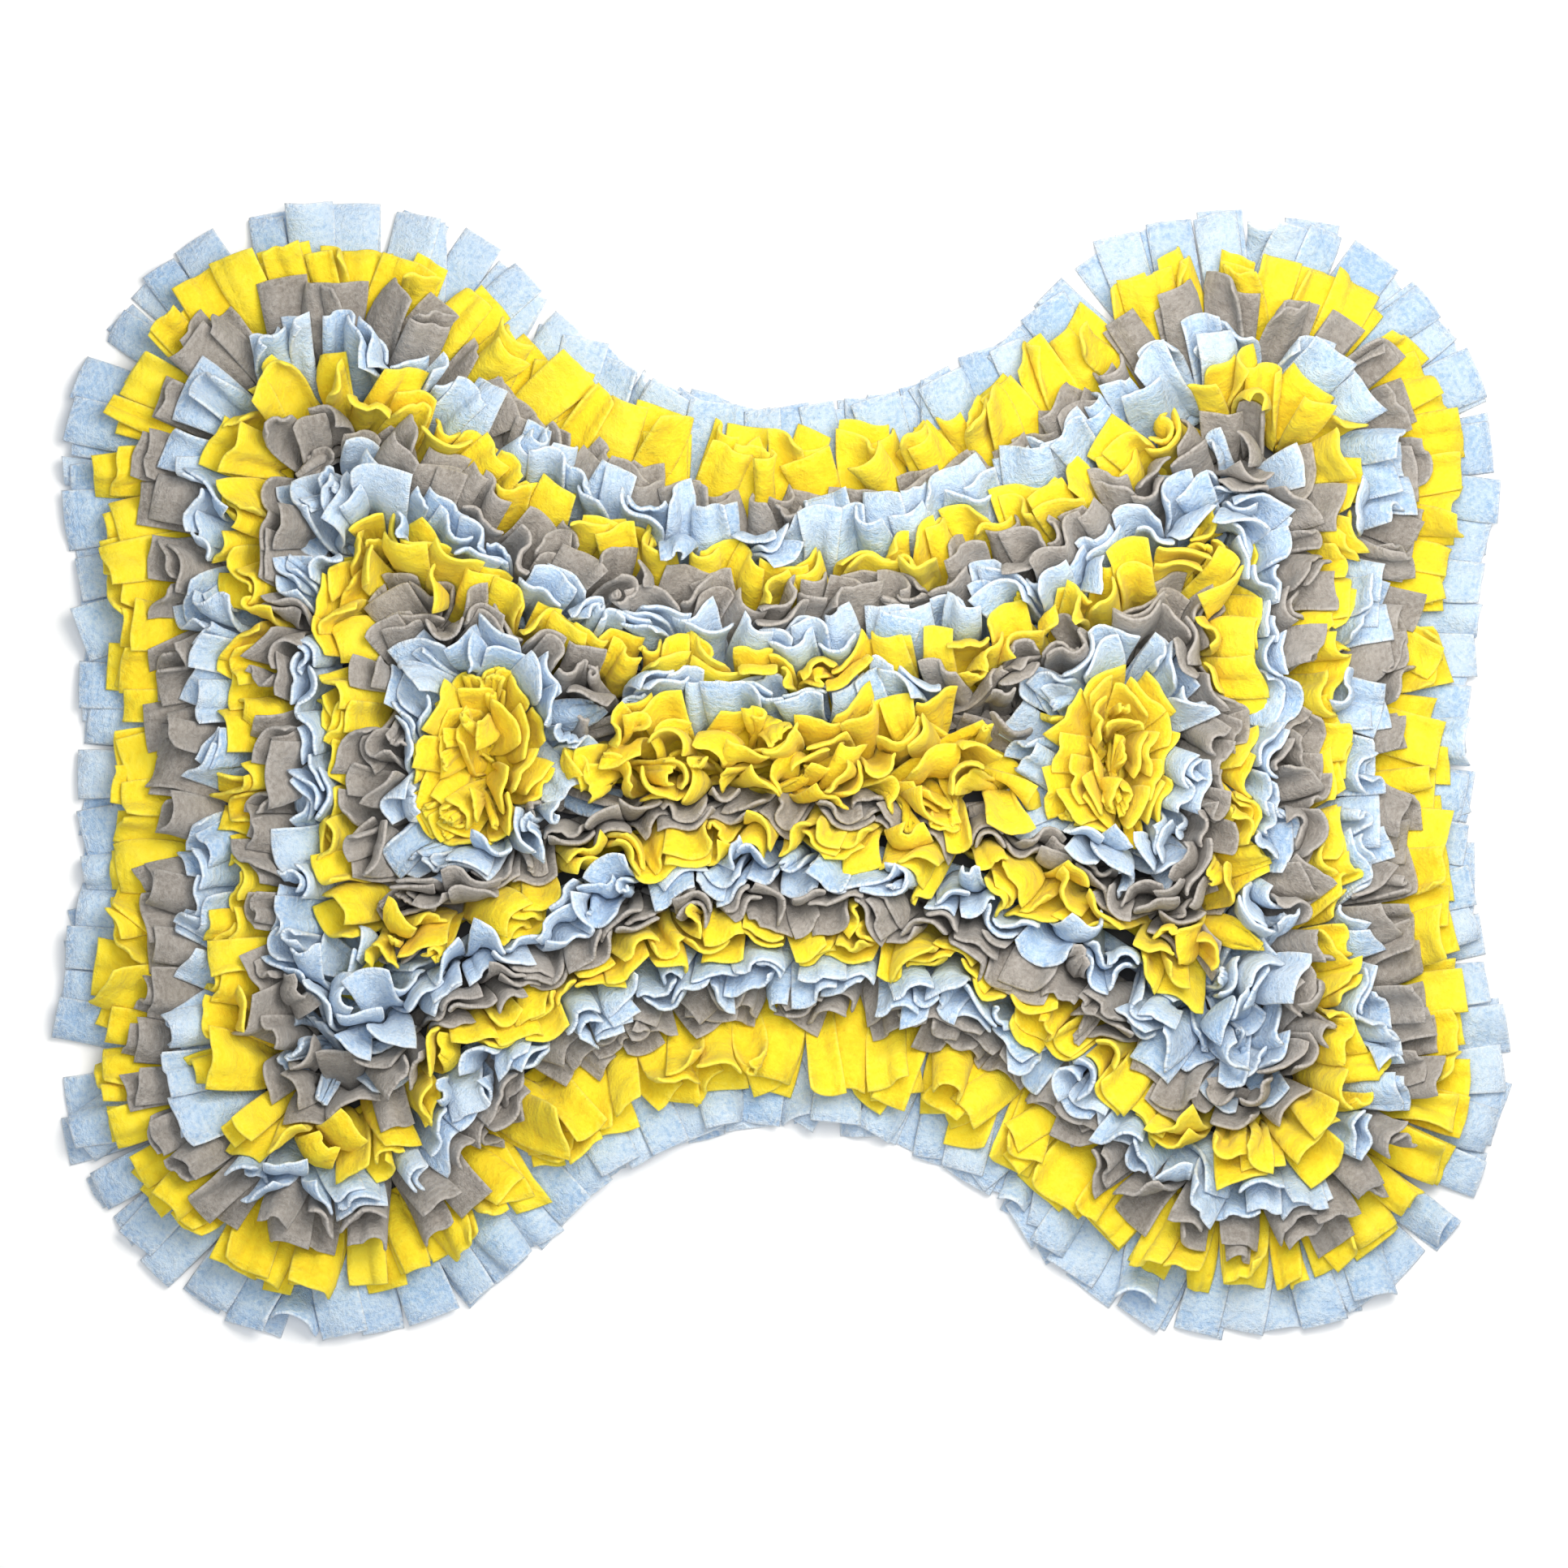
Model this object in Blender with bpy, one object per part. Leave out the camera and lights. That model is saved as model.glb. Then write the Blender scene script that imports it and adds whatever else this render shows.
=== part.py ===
"""Snuffle mat: a bone-shaped backing panel with rows of fringed fleece sewn on it.

Each row is a fleece strip that follows the panel's outline at its own distance from
the edge. The strip is cut into flaps. The two rim rows lie flat on the floor and on
each other with their flaps apart; further in the rows stand up steeply and crowd each
other, so that each one is a leaning, stepped ruffle.

Frame: origin at the middle of the panel's underside, +X along the mat's length, +Z up.
Units: metres.
"""

import math

import bmesh
import bpy
import numpy as np

# The four lobes of the bone at the rim flaps' tips, clockwise: x, y and radius.
LOBES = (
    {"x": -0.2137, "y": 0.1426, "radius": 0.130},
    {"x": 0.2195, "y": 0.1426, "radius": 0.125},
    {"x": 0.2199, "y": -0.1449, "radius": 0.128},
    {"x": -0.2129, "y": -0.1402, "radius": 0.133},
)
# The hollow between each lobe and the next: its radius, and the rows' pace across it.
HOLLOWS = (
    {"side": "far", "radius": 0.170, "pace": 1.00},
    {"side": "right", "radius": 0.636, "pace": 0.85},
    {"side": "near", "radius": 0.150, "pace": 1.00},
    {"side": "left", "radius": 1.040, "pace": 1.00},
)
# The loops in the lobes' middles, inside the ninth row, and the knots inside them.
LOOPS = (
    {"side": "left", "x": -0.140, "y": 0.004, "half_width": 0.0205, "half_height": 0.036},
    {"side": "right", "x": 0.1605, "y": 0.003, "half_width": 0.0175, "half_height": 0.036},
)

RIM_REACH = 0.045  # the rim flaps reach this far past the panel's edge
PANEL_THICK = 0.0025
GAP = 0.0003  # between pieces that touch
FIRST_INSET = 0.003  # the rim row's seam, in from the panel's edge
ROW_PITCH = 0.0142  # from one seam to the next
FLAP_WIDTH = 0.024
FLAP_LENGTH = 0.045
FLEECE = 0.003  # two plies of fleece, pressed together
CROWN = 0.020  # flaps are spaced along the line this far out from their seam

SKY, YOLK, TAUPE, SLATE = "fleece_sky", "fleece_yolk", "fleece_taupe", "backing_slate"
COLOURS = {
    SKY: (0.50, 0.66, 0.84),
    YOLK: (0.95, 0.68, 0.03),
    TAUPE: (0.33, 0.30, 0.27),
    SLATE: (0.09, 0.09, 0.10),
}

# The leaning rows, from the third to the ninth: rise per metre outward, how thick the
# two crumpled plies are at their tips, and the tightest turn that the strip makes.
LEANING = (
    {"row": 3, "colour": TAUPE, "rise": 0.40, "swell": 0.0045, "corner": 0.009},
    {"row": 4, "colour": SKY, "rise": 0.48, "swell": 0.0055, "corner": 0.009},
    {"row": 5, "colour": YOLK, "rise": 0.62, "swell": 0.0065, "corner": 0.009},
    {"row": 6, "colour": TAUPE, "rise": 0.76, "swell": 0.0070, "corner": 0.010},
    {"row": 7, "colour": SKY, "rise": 0.90, "swell": 0.0070, "corner": 0.012},
    {"row": 8, "colour": YOLK, "rise": 1.05, "swell": 0.0070, "corner": 0.014},
)
NINTH = {"rise": 1.22, "swell": 0.0070, "corner": 0.016}
LOOP = {"rise": 1.90, "swell": 0.0065}
MIDDLE = {"rise": 3.40, "swell": 0.0065}
COMB = 0.20  # rows on the far side stand steeper by this share, the near side flatter
STEP_LENGTH = 0.0040  # how far neighbouring flaps of a ruffle step out and back,
STEP_LIFT = 0.0018  # how far up and down,
STEP_SEAM = 0.0010  # and how far their seam wanders
CUT = 0.05  # share of a flap's width taken by the step to its neighbour


# ---------------------------------------------------------------- seam lines


def crossing(centre_a, radius_a, centre_b, radius_b, near):
    """Where two circles cross, on the side of the point near."""
    apart = centre_b - centre_a
    length = np.hypot(*apart)
    along = (radius_a**2 - radius_b**2 + length**2) / (2 * length)
    aside = math.sqrt(max(radius_a**2 - along**2, 0.0))
    forward = apart / length
    left = np.array([-forward[1], forward[0]])
    points = [centre_a + forward * along + left * aside * side for side in (1, -1)]
    return min(points, key=lambda point: np.hypot(*(point - near)))


def hollow_centres():
    """Centres of the circles that hollow the outline between each two lobes."""
    centres = []
    for lobe, after, hollow in zip(LOBES, LOBES[1:] + LOBES[:1], HOLLOWS):
        a = np.array([lobe["x"], lobe["y"]])
        b = np.array([after["x"], after["y"]])
        radius = hollow["radius"]
        apart = b - a
        outside = (a + b) / 2 + np.array([-apart[1], apart[0]])
        centres.append(crossing(a, lobe["radius"] + radius, b, after["radius"] + radius, outside))
    return centres


def arc(centre, start, end, bulges, step=0.001):
    """Points and outward normals along an arc, from one point to another the short way."""
    radius = np.hypot(*(start - centre))
    first = math.atan2(*(start - centre)[::-1])
    turn = math.atan2(*(end - centre)[::-1]) - first
    turn = (turn + math.pi) % (2 * math.pi) - math.pi
    if bulges and turn > 0:
        turn -= 2 * math.pi
    angles = first + np.linspace(0, turn, max(4, round(radius * abs(turn) / step)))
    away = np.stack([np.cos(angles), np.sin(angles)], axis=1)
    return centre + radius * away, away if bulges else -away


def outline(inset, corner=0.009):
    """The panel's outline moved in by inset, clockwise: dense points and outward normals.

    The hollows' circles grow with the inset and the lobes' shrink, down to corner.
    """
    hollows = [
        (centre, hollow["radius"] + RIM_REACH + inset * hollow["pace"])
        for centre, hollow in zip(hollow_centres(), HOLLOWS)
    ]
    turns = []
    for index, lobe in enumerate(LOBES):
        before, after = hollows[index - 1], hollows[index]
        pace = (HOLLOWS[index - 1]["pace"] + HOLLOWS[index]["pace"]) / 2
        radius = max(lobe["radius"] - RIM_REACH - inset * pace, corner)
        near = np.array([lobe["x"], lobe["y"]])
        centre = crossing(before[0], before[1] + radius, after[0], after[1] + radius, near)
        enter = centre + radius * (before[0] - centre) / np.hypot(*(before[0] - centre))
        leave = centre + radius * (after[0] - centre) / np.hypot(*(after[0] - centre))
        turns.append((centre, enter, leave))
    points, normals = [], []
    for index, (centre, enter, leave) in enumerate(turns):
        next_enter = turns[(index + 1) % len(turns)][1]
        for piece in (arc(centre, enter, leave, True), arc(hollows[index][0], leave, next_enter, False)):
            points.append(piece[0][:-1])
            normals.append(piece[1][:-1])
    return np.concatenate(points), np.concatenate(normals)


def oval(loop, count=240):
    """An oval seam, clockwise: points and outward normals."""
    angles = -np.linspace(0, 2 * math.pi, count, endpoint=False)
    half = np.array([loop["half_width"], loop["half_height"]])
    around = np.stack([np.cos(angles), np.sin(angles)], axis=1)
    normals = around / half
    centre = np.array([loop["x"], loop["y"]])
    return centre + half * around, normals / np.linalg.norm(normals, axis=1)[:, None]


def stretch(seam, keep):
    """The run of a closed seam whose points pass the test keep, as an open seam."""
    points, normals = seam
    wanted = keep(points)
    start = int(np.flatnonzero(wanted & ~np.roll(wanted, 1))[0])
    points, normals, wanted = (np.roll(x, -start, axis=0) for x in (points, normals, wanted))
    length = len(wanted) if wanted.all() else int(np.argmin(wanted))
    return points[:length], normals[:length]


def straight(start, end, side):
    """A straight seam from start to end, its normals towards side."""
    points = np.linspace(start, end, 120)
    return points, np.tile(np.array(side, float), (len(points), 1))


def stations(seam, shares, closed):
    """Points and normals of the seam at shares of its length, measured CROWN out from it."""
    points, normals = seam
    if closed:
        points, normals = np.vstack([points, points[:1]]), np.vstack([normals, normals[:1]])
    crown = points + CROWN * normals
    run = np.concatenate([[0], np.cumsum(np.hypot(*np.diff(crown, axis=0).T))])
    at = np.asarray(shares) * run[-1]
    found = [np.stack([np.interp(at, run, x[:, k]) for k in (0, 1)], axis=1) for x in (points, normals)]
    found[1] /= np.linalg.norm(found[1], axis=1)[:, None]
    return found


def flap_count(seam):
    """How many flaps fit the seam at CROWN out from it."""
    crown = seam[0] + CROWN * seam[1]
    return round(np.hypot(*np.diff(crown, axis=0).T).sum() / FLAP_WIDTH)


# ---------------------------------------------------------------- meshes


def material(name):
    """The plain material of one cloth."""
    found = bpy.data.materials.get(name)
    if found is None:
        found = bpy.data.materials.new(name)
        found.use_nodes = True
        shader = found.node_tree.nodes["Principled BSDF"]
        shader.inputs["Base Color"].default_value = (*COLOURS[name], 1.0)
        shader.inputs["Roughness"].default_value = 0.95
        found.diffuse_color = (*COLOURS[name], 1.0)
    return found


def add_piece(name, points, faces, colour):
    """A named mesh object with its faces turned outwards."""
    mesh = bpy.data.meshes.new(name)
    mesh.from_pydata(points, [], faces)
    work = bmesh.new()
    work.from_mesh(mesh)
    bmesh.ops.recalc_face_normals(work, faces=work.faces)
    work.to_mesh(mesh)
    work.free()
    mesh.materials.append(material(colour))
    piece = bpy.data.objects.new(name, mesh)
    bpy.context.scene.collection.objects.link(piece)
    return piece


def along(point, normal, out, height):
    """The 3-D point that lies out from a seam point at a height."""
    return (point[0] + normal[0] * out, point[1] + normal[1] * out, height)


def backing_panel(count=132):
    """The flat panel that every strip is sewn to."""
    points, _ = outline(0.0)
    points = points[np.linspace(0, len(points), count, endpoint=False).astype(int)]
    rims = [[(x, y, z) for x, y in points] for z in (0.0, PANEL_THICK)]
    sides = [(i, (i + 1) % count, count + (i + 1) % count, count + i) for i in range(count)]
    faces = [tuple(range(count)), tuple(range(count, 2 * count)), *sides]
    return add_piece("backing_panel", rims[0] + rims[1], faces, SLATE)


def ruffle(name, seam, colour, form, seed, closed=True, length=FLAP_LENGTH):
    """A row that leans outward as one stepped ruffle, a step for each flap.

    Each station has four corners: the root's inner and outer edge on the panel, and the
    tip's lower and upper edge. Two stations bound each flap.
    """
    flaps = flap_count(seam)
    rng = np.random.default_rng(seed)
    turns = np.where(np.arange(flaps) % 2, 1.0, -1.0) * rng.uniform(0.2, 1.0, flaps)
    longer = STEP_LENGTH * turns
    lifted = STEP_LIFT * (0.35 + 0.65 * turns)
    shifted = rng.uniform(-STEP_SEAM, STEP_SEAM, flaps)
    skewed = rng.uniform(-0.4, 0.4, flaps) * STEP_LENGTH
    shares = [(flap + side) / flaps for flap in range(flaps) for side in (CUT / 2, 1 - CUT / 2)]
    base = PANEL_THICK + GAP
    corners = []
    for index, (point, normal) in enumerate(zip(*stations(seam, shares, closed))):
        flap, side = index // 2, (-1, 1)[index % 2]
        slope = math.atan(form["rise"] * (1 + COMB * normal[1]))
        run = length + longer[flap] + side * skewed[flap]
        across = np.array([-math.sin(slope), math.cos(slope)])
        low = np.array([math.cos(slope), math.sin(slope)]) * run + across * lifted[flap]
        high = low + across * (form["swell"] + lifted[flap])
        root = point + normal * shifted[flap]
        corners += [
            along(root, normal, 0.0, base),
            along(root, normal, low[0], base + low[1]),
            along(root, normal, high[0], base + high[1]),
            along(root, normal, -FLEECE / math.sqrt(math.sin(slope)), base),
        ]
    count = len(corners) // 4
    faces = []
    for index in range(count if closed else count - 1):
        here, there = 4 * index, 4 * ((index + 1) % count)
        faces += [(here + k, here + (k + 1) % 4, there + (k + 1) % 4, there + k) for k in range(4)]
    if not closed:
        faces += [(0, 1, 2, 3), tuple(4 * (count - 1) + k for k in range(4))]
    return add_piece(name, corners, faces, colour)


def fringe(name, seam, colour, band, steps, seed):
    """A row whose flaps lie apart, joined only at their root band.

    band is the root's section as (out, height) corners: inner low, inner high, outer high,
    outer low. steps are the flap's further sections as (out, low, high); the last is its tip.
    """
    flaps = flap_count(seam)
    rng = np.random.default_rng(seed)
    turned = rng.uniform(-0.022, 0.022, flaps)
    longer = rng.uniform(-0.003, 0.002, flaps)
    longer[rng.integers(0, flaps, 3)] = 0.0035
    shares = [(flap + side) / flaps for flap in range(flaps) for side in (0.06, 0.94)]
    seam_points, seam_normals = stations(seam, shares, True)
    middles, aims = stations(seam, (np.arange(flaps) + 0.5) / flaps, True)
    reach = steps[-1][0]
    tips = middles + aims * reach
    room = np.hypot(*(tips - np.roll(tips, 1, axis=0)).T)
    room = np.minimum(room, np.roll(room, -1))
    tip_widths = np.minimum(0.94 * room, FLAP_WIDTH) - 0.0024
    corners = []
    for point, normal in zip(seam_points, seam_normals):
        corners += [along(point, normal, out, height) for out, height in band]
    count = len(seam_points)
    faces = []
    for index in range(count):
        here, there = 4 * index, 4 * ((index + 1) % count)
        sides = (0, 1, 3) if index % 2 == 0 else (0, 1, 2, 3)
        faces += [(here + k, here + (k + 1) % 4, there + (k + 1) % 4, there + k) for k in sides]
    for flap in range(flaps):
        left, right = 8 * flap, 8 * flap + 4
        section = (left + 3, left + 2, right + 2, right + 3)
        root_width = np.hypot(*(seam_points[2 * flap + 1] - seam_points[2 * flap]))
        turn = np.array([math.cos(turned[flap]), math.sin(turned[flap])])
        aim = aims[flap]
        aim = np.array([aim[0] * turn[0] - aim[1] * turn[1], aim[0] * turn[1] + aim[1] * turn[0]])
        side = np.array([aim[1], -aim[0]])
        for out, low, high in steps:
            if out == reach:
                out += longer[flap]
            share = min(out / reach, 1.0)
            half = (root_width * (1 - share) + tip_widths[flap] * share) / 2
            centre = middles[flap] + aim * out
            first = len(corners)
            for offset, height in ((-half, low), (-half, high), (half, high), (half, low)):
                corners.append((*(centre + side * offset), height))
            ring = (first, first + 1, first + 2, first + 3)
            for k in range(4):
                faces.append((section[k], section[(k + 1) % 4], ring[(k + 1) % 4], ring[k]))
            section = ring
        faces.append(section)
    return add_piece(name, corners, faces, colour)


def knot(name, loop, colour, leans, seed, flaps=14):
    """The flaps in a loop's middle, fused to a small oval root. leans: (low, high), radians.

    Every other flap stands steeper by a third.
    """
    root = {"x": loop["x"], "y": loop["y"], "half_width": 0.0045, "half_height": 0.014}
    base, root_top = PANEL_THICK + GAP, PANEL_THICK + GAP + 0.006
    rng = np.random.default_rng(seed)
    points, normals = oval(root)
    run = np.concatenate([[0], np.cumsum(np.hypot(*np.diff(points, axis=0).T))])
    shares = [(flap + side) / flaps for flap in range(flaps) for side in (0.08, 0.92)]
    index = np.searchsorted(run, np.array(shares) * run[-1])
    corners = [(*points[i], height) for i in index for height in (base, root_top)]
    count = len(shares)
    faces = [tuple(2 * i for i in range(count)), tuple(2 * i + 1 for i in range(count))]
    faces += [(2 * i, 2 * i + 1, (2 * i + 3) % (2 * count), (2 * i + 2) % (2 * count))
              for i in range(1, count, 2)]
    for flap in range(flaps):
        middle = np.searchsorted(run, (flap + 0.5) / flaps * run[-1])
        aim = normals[middle] * 0.6 + (points[middle] - (root["x"], root["y"])) / 0.014 * 0.4
        aim /= np.linalg.norm(aim)
        side = np.array([aim[1], -aim[0]])
        lean = rng.uniform(*leans) * (1.0 if flap % 2 else 0.66)
        length = rng.uniform(0.035, 0.040)
        left, right = 4 * flap, 4 * flap + 2
        section = (left, left + 1, right + 1, right)
        for share, width in ((0.45, 0.0062), (1.0, 0.0105)):
            out, height = length * share * math.sin(lean), root_top - 0.003 + length * share * math.cos(lean)
            first = len(corners)
            for offset, step in ((-width / 2, 1), (-width / 2, 0), (width / 2, 0), (width / 2, 1)):
                place = points[middle] + aim * (out + FLEECE * step * math.cos(lean)) + side * offset
                corners.append((*place, height - FLEECE * step * math.sin(lean)))
            ring = (first, first + 1, first + 2, first + 3)
            for k in range(4):
                faces.append((section[k], section[(k + 1) % 4], ring[(k + 1) % 4], ring[k]))
            section = ring
        faces.append(section)
    return add_piece(name, corners, faces, colour)


# ---------------------------------------------------------------- the mat


def build():
    for old in list(bpy.data.objects):
        bpy.data.objects.remove(old)

    backing_panel()

    top = PANEL_THICK + GAP
    fringe(
        "row_01_sky", outline(FIRST_INSET), SKY, seed=1,
        band=((-0.0020, top), (-0.0020, top + FLEECE), (0.0040, top + FLEECE), (0.0040, top)),
        steps=((0.0120, 0.0, FLEECE), (FIRST_INSET + RIM_REACH, 0.0, FLEECE)),
    )
    over_rim = top + FLEECE + GAP
    fringe(
        "row_02_yolk", outline(FIRST_INSET + ROW_PITCH), YOLK, seed=2,
        band=((-0.0015, top), (-0.0015, top + FLEECE), (0.0035, top + FLEECE), (0.0035, top)),
        steps=(
            (0.0085, over_rim, over_rim + FLEECE),
            (0.0185, over_rim, over_rim + FLEECE),
            (0.0300, FLEECE + GAP, 2 * FLEECE + GAP),
            (FLAP_LENGTH, FLEECE + GAP, 2 * FLEECE + GAP),
        ),
    )
    for strip in LEANING:
        seam = outline(FIRST_INSET + (strip["row"] - 1) * ROW_PITCH, strip["corner"])
        name = f"row_{strip['row']:02d}_{strip['colour'].split('_')[1]}"
        ruffle(name, seam, strip["colour"], strip, strip["row"])

    ninth = outline(FIRST_INSET + 8 * ROW_PITCH, NINTH["corner"])
    waist = 0.078
    parts = (
        ("row_09_taupe_left", TAUPE, lambda p: (p[:, 0] < -waist) | ((p[:, 1] < 0) & (p[:, 0] < 0.0))),
        ("row_09_taupe_right", TAUPE, lambda p: (p[:, 0] > waist) | ((p[:, 1] < 0) & (p[:, 0] > 0.002))),
        ("row_09_sky_middle", SKY, lambda p: (abs(p[:, 0]) < waist - 0.002) & (p[:, 1] > 0)),
    )
    for number, (name, colour, keep) in enumerate(parts):
        ruffle(name, stretch(ninth, keep), colour, NINTH, 90 + number, closed=False)

    for loop, leans in zip(LOOPS, ((0.48, 0.62), (0.30, 0.48))):
        ruffle(f"row_10_sky_{loop['side']}", oval(loop), SKY, LOOP, 100, length=0.042)
        knot(f"row_11_yolk_{loop['side']}", loop, YOLK, leans, 110)

    for name, y, side in (("middle_yolk_far", 0.0052, (0, 1)), ("middle_yolk_near", -0.0022, (0, -1))):
        seam = straight((-0.090, y), (0.114, y), side)
        ruffle(name, seam, YOLK, MIDDLE, 120 + side[1], closed=False, length=0.040)


build()
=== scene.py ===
"""Snuffle mat: a bone-shaped cloth panel covered in rows of cut fleece ruffles, lying flat.

Metres, +Z up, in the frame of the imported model.
"""

import math

import bpy
import numpy as np
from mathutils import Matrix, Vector


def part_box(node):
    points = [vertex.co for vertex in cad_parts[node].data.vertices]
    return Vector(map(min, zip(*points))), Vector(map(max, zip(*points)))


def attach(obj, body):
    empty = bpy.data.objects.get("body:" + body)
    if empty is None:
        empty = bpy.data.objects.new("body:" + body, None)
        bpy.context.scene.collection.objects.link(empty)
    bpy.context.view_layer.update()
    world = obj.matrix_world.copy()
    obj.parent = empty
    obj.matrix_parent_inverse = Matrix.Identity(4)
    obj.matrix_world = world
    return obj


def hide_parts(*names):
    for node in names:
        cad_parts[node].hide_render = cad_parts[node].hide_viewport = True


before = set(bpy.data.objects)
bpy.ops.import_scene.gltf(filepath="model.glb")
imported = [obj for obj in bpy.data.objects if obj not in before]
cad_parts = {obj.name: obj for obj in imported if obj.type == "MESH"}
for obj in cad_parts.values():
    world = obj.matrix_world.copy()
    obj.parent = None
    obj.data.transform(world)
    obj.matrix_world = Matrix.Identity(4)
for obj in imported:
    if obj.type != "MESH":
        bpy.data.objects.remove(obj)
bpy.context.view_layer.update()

# ------------------------------------------------------------------ backing panel
# A bone-shaped sheet of slate woven cloth that every ruffle is sewn through. It is cut
# in one piece and lies flat; the rows of stitching show as dents on its underside.

LOBES = (  # clockwise from the far left, at the rim flaps' tips
    {"x": -0.2137, "y": 0.1426, "radius": 0.130},
    {"x": 0.2195, "y": 0.1426, "radius": 0.125},
    {"x": 0.2199, "y": -0.1449, "radius": 0.128},
    {"x": -0.2129, "y": -0.1402, "radius": 0.133},
)
HOLLOWS = (  # between each lobe and the next, and how fast the rows move in across it
    {"radius": 0.170, "pace": 1.00},
    {"radius": 0.636, "pace": 0.85},
    {"radius": 0.150, "pace": 1.00},
    {"radius": 1.040, "pace": 1.00},
)
RIM_REACH = 0.045  # the rim flaps reach this far past the panel's edge
FIRST_INSET = 0.003  # the rim row's seam, in from the panel's edge
ROW_PITCH = 0.0142  # from each row's seam to the next
ROW_CORNER = 0.009  # radius of the tightest turn of a seam
SPINE = ((-0.140, 0.004), (0.1605, 0.003))  # the mat's middle, from knot to knot
PANEL_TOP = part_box("backing_panel")[1][2]


def crossing(centre_a, radius_a, centre_b, radius_b, near):
    """The nearer to near of the two places where two circles cross.

    Each is the foot on the line of centres, and then the half chord aside.
    """
    apart = centre_b - centre_a
    length = np.hypot(*apart)
    along = (radius_a**2 - radius_b**2 + length**2) / (2 * length)
    aside = math.sqrt(max(radius_a**2 - along**2, 0.0))
    forward = apart / length
    left = np.array([-forward[1], forward[0]])
    points = [centre_a + forward * along + left * aside * side for side in (1, -1)]
    return min(points, key=lambda point: np.hypot(*(point - near)))


def hollow_centres():
    """Each hollow's circle touches its two lobes from outside, so it lies on both radius sums."""
    centres = []
    for lobe, after, hollow in zip(LOBES, LOBES[1:] + LOBES[:1], HOLLOWS):
        a = np.array([lobe["x"], lobe["y"]])
        b = np.array([after["x"], after["y"]])
        radius = hollow["radius"]
        outside = (a + b) / 2 + np.array([a[1] - b[1], b[0] - a[0]])
        centres.append(crossing(a, lobe["radius"] + radius, b, after["radius"] + radius, outside))
    return centres


def arc(centre, start, end, bulges, step=0.001):
    """Centre plus radius times the unit vector whose angle runs evenly from start to end."""
    radius = np.hypot(*(start - centre))
    first = math.atan2(*(start - centre)[::-1])
    turn = math.atan2(*(end - centre)[::-1]) - first
    turn = (turn + math.pi) % (2 * math.pi) - math.pi
    if bulges and turn > 0:
        turn -= 2 * math.pi
    angles = first + np.linspace(0, turn, max(4, round(radius * abs(turn) / step)))
    away = np.stack([np.cos(angles), np.sin(angles)], axis=1)
    return centre + radius * away, away if bulges else -away


def turnings(inset, corner):
    """Hollow circles grow with the inset and lobe circles shrink, down to corner.

    Each lobe circle touches its two hollow circles: its centre and the two touching points.
    """
    hollows = [
        (centre, hollow["radius"] + RIM_REACH + inset * hollow["pace"])
        for centre, hollow in zip(hollow_centres(), HOLLOWS)
    ]
    turns = []
    for index, lobe in enumerate(LOBES):
        before, after = hollows[index - 1], hollows[index]
        pace = (HOLLOWS[index - 1]["pace"] + HOLLOWS[index]["pace"]) / 2
        radius = max(lobe["radius"] - RIM_REACH - inset * pace, corner)
        near = np.array([lobe["x"], lobe["y"]])
        centre = crossing(before[0], before[1] + radius, after[0], after[1] + radius, near)
        enter = centre + radius * (before[0] - centre) / np.hypot(*(before[0] - centre))
        leave = centre + radius * (after[0] - centre) / np.hypot(*(after[0] - centre))
        turns.append((centre, enter, leave, after[0]))
    return turns


def outline(inset, corner=ROW_CORNER):
    """The panel's edge moved in by inset, clockwise: points and outward normals.

    Arcs between the touching points make the line, round each lobe and along each hollow.
    """
    turns = turnings(inset, corner)
    points, normals = [], []
    for index, (centre, enter, leave, hollow) in enumerate(turns):
        next_enter = turns[(index + 1) % len(turns)][1]
        for piece in (arc(centre, enter, leave, True), arc(hollow, leave, next_enter, False)):
            points.append(piece[0][:-1])
            normals.append(piece[1][:-1])
    return np.concatenate(points), np.concatenate(normals)


def spaced(line, count, closed=True):
    """The line at count even distances along it, by straight interpolation."""
    ring = np.vstack([line, line[:1]]) if closed else line
    run = np.concatenate([[0.0], np.cumsum(np.hypot(*np.diff(ring[:, :2], axis=0).T))])
    at = np.linspace(0, run[-1], count, endpoint=not closed)
    return np.stack([np.interp(at, run, ring[:, axis]) for axis in range(ring.shape[1])], axis=1)


def add_mesh(name, points, faces, uv=None, values=()):
    """A new object at the origin from points and four-cornered faces.

    uv has one place for each point, and values is pairs of a name and a number for each point.
    """
    mesh = bpy.data.meshes.new(name)
    mesh.vertices.add(len(points))
    mesh.vertices.foreach_set("co", np.ascontiguousarray(points, dtype=np.float32).ravel())
    corners = np.ascontiguousarray(faces, dtype=np.int32).ravel()
    mesh.loops.add(len(corners))
    mesh.loops.foreach_set("vertex_index", corners)
    mesh.polygons.add(len(faces))
    mesh.polygons.foreach_set("loop_start", np.arange(0, len(corners), 4, dtype=np.int32))
    mesh.update(calc_edges=True)
    mesh.polygons.foreach_set("use_smooth", np.ones(len(faces), bool))
    if uv is not None:
        layer = mesh.uv_layers.new(name="cloth")
        layer.data.foreach_set("uv", np.ascontiguousarray(uv[corners], dtype=np.float32).ravel())
    for title, numbers in values:
        attribute = mesh.attributes.new(title, "FLOAT", "POINT")
        attribute.data.foreach_set("value", np.ascontiguousarray(numbers, dtype=np.float32))
    made = bpy.data.objects.new(name, mesh)
    bpy.context.scene.collection.objects.link(made)
    return made


def shell_faces(rings, around):
    """Faces between each ring of points and the next, each ring closed on itself."""
    one = np.arange(around)
    nxt = np.roll(one, -1)
    quads = np.stack([one, nxt, nxt + around, one + around], axis=1)
    return (quads[None] + (np.arange(rings - 1) * around)[:, None, None]).reshape(-1, 4)


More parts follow.
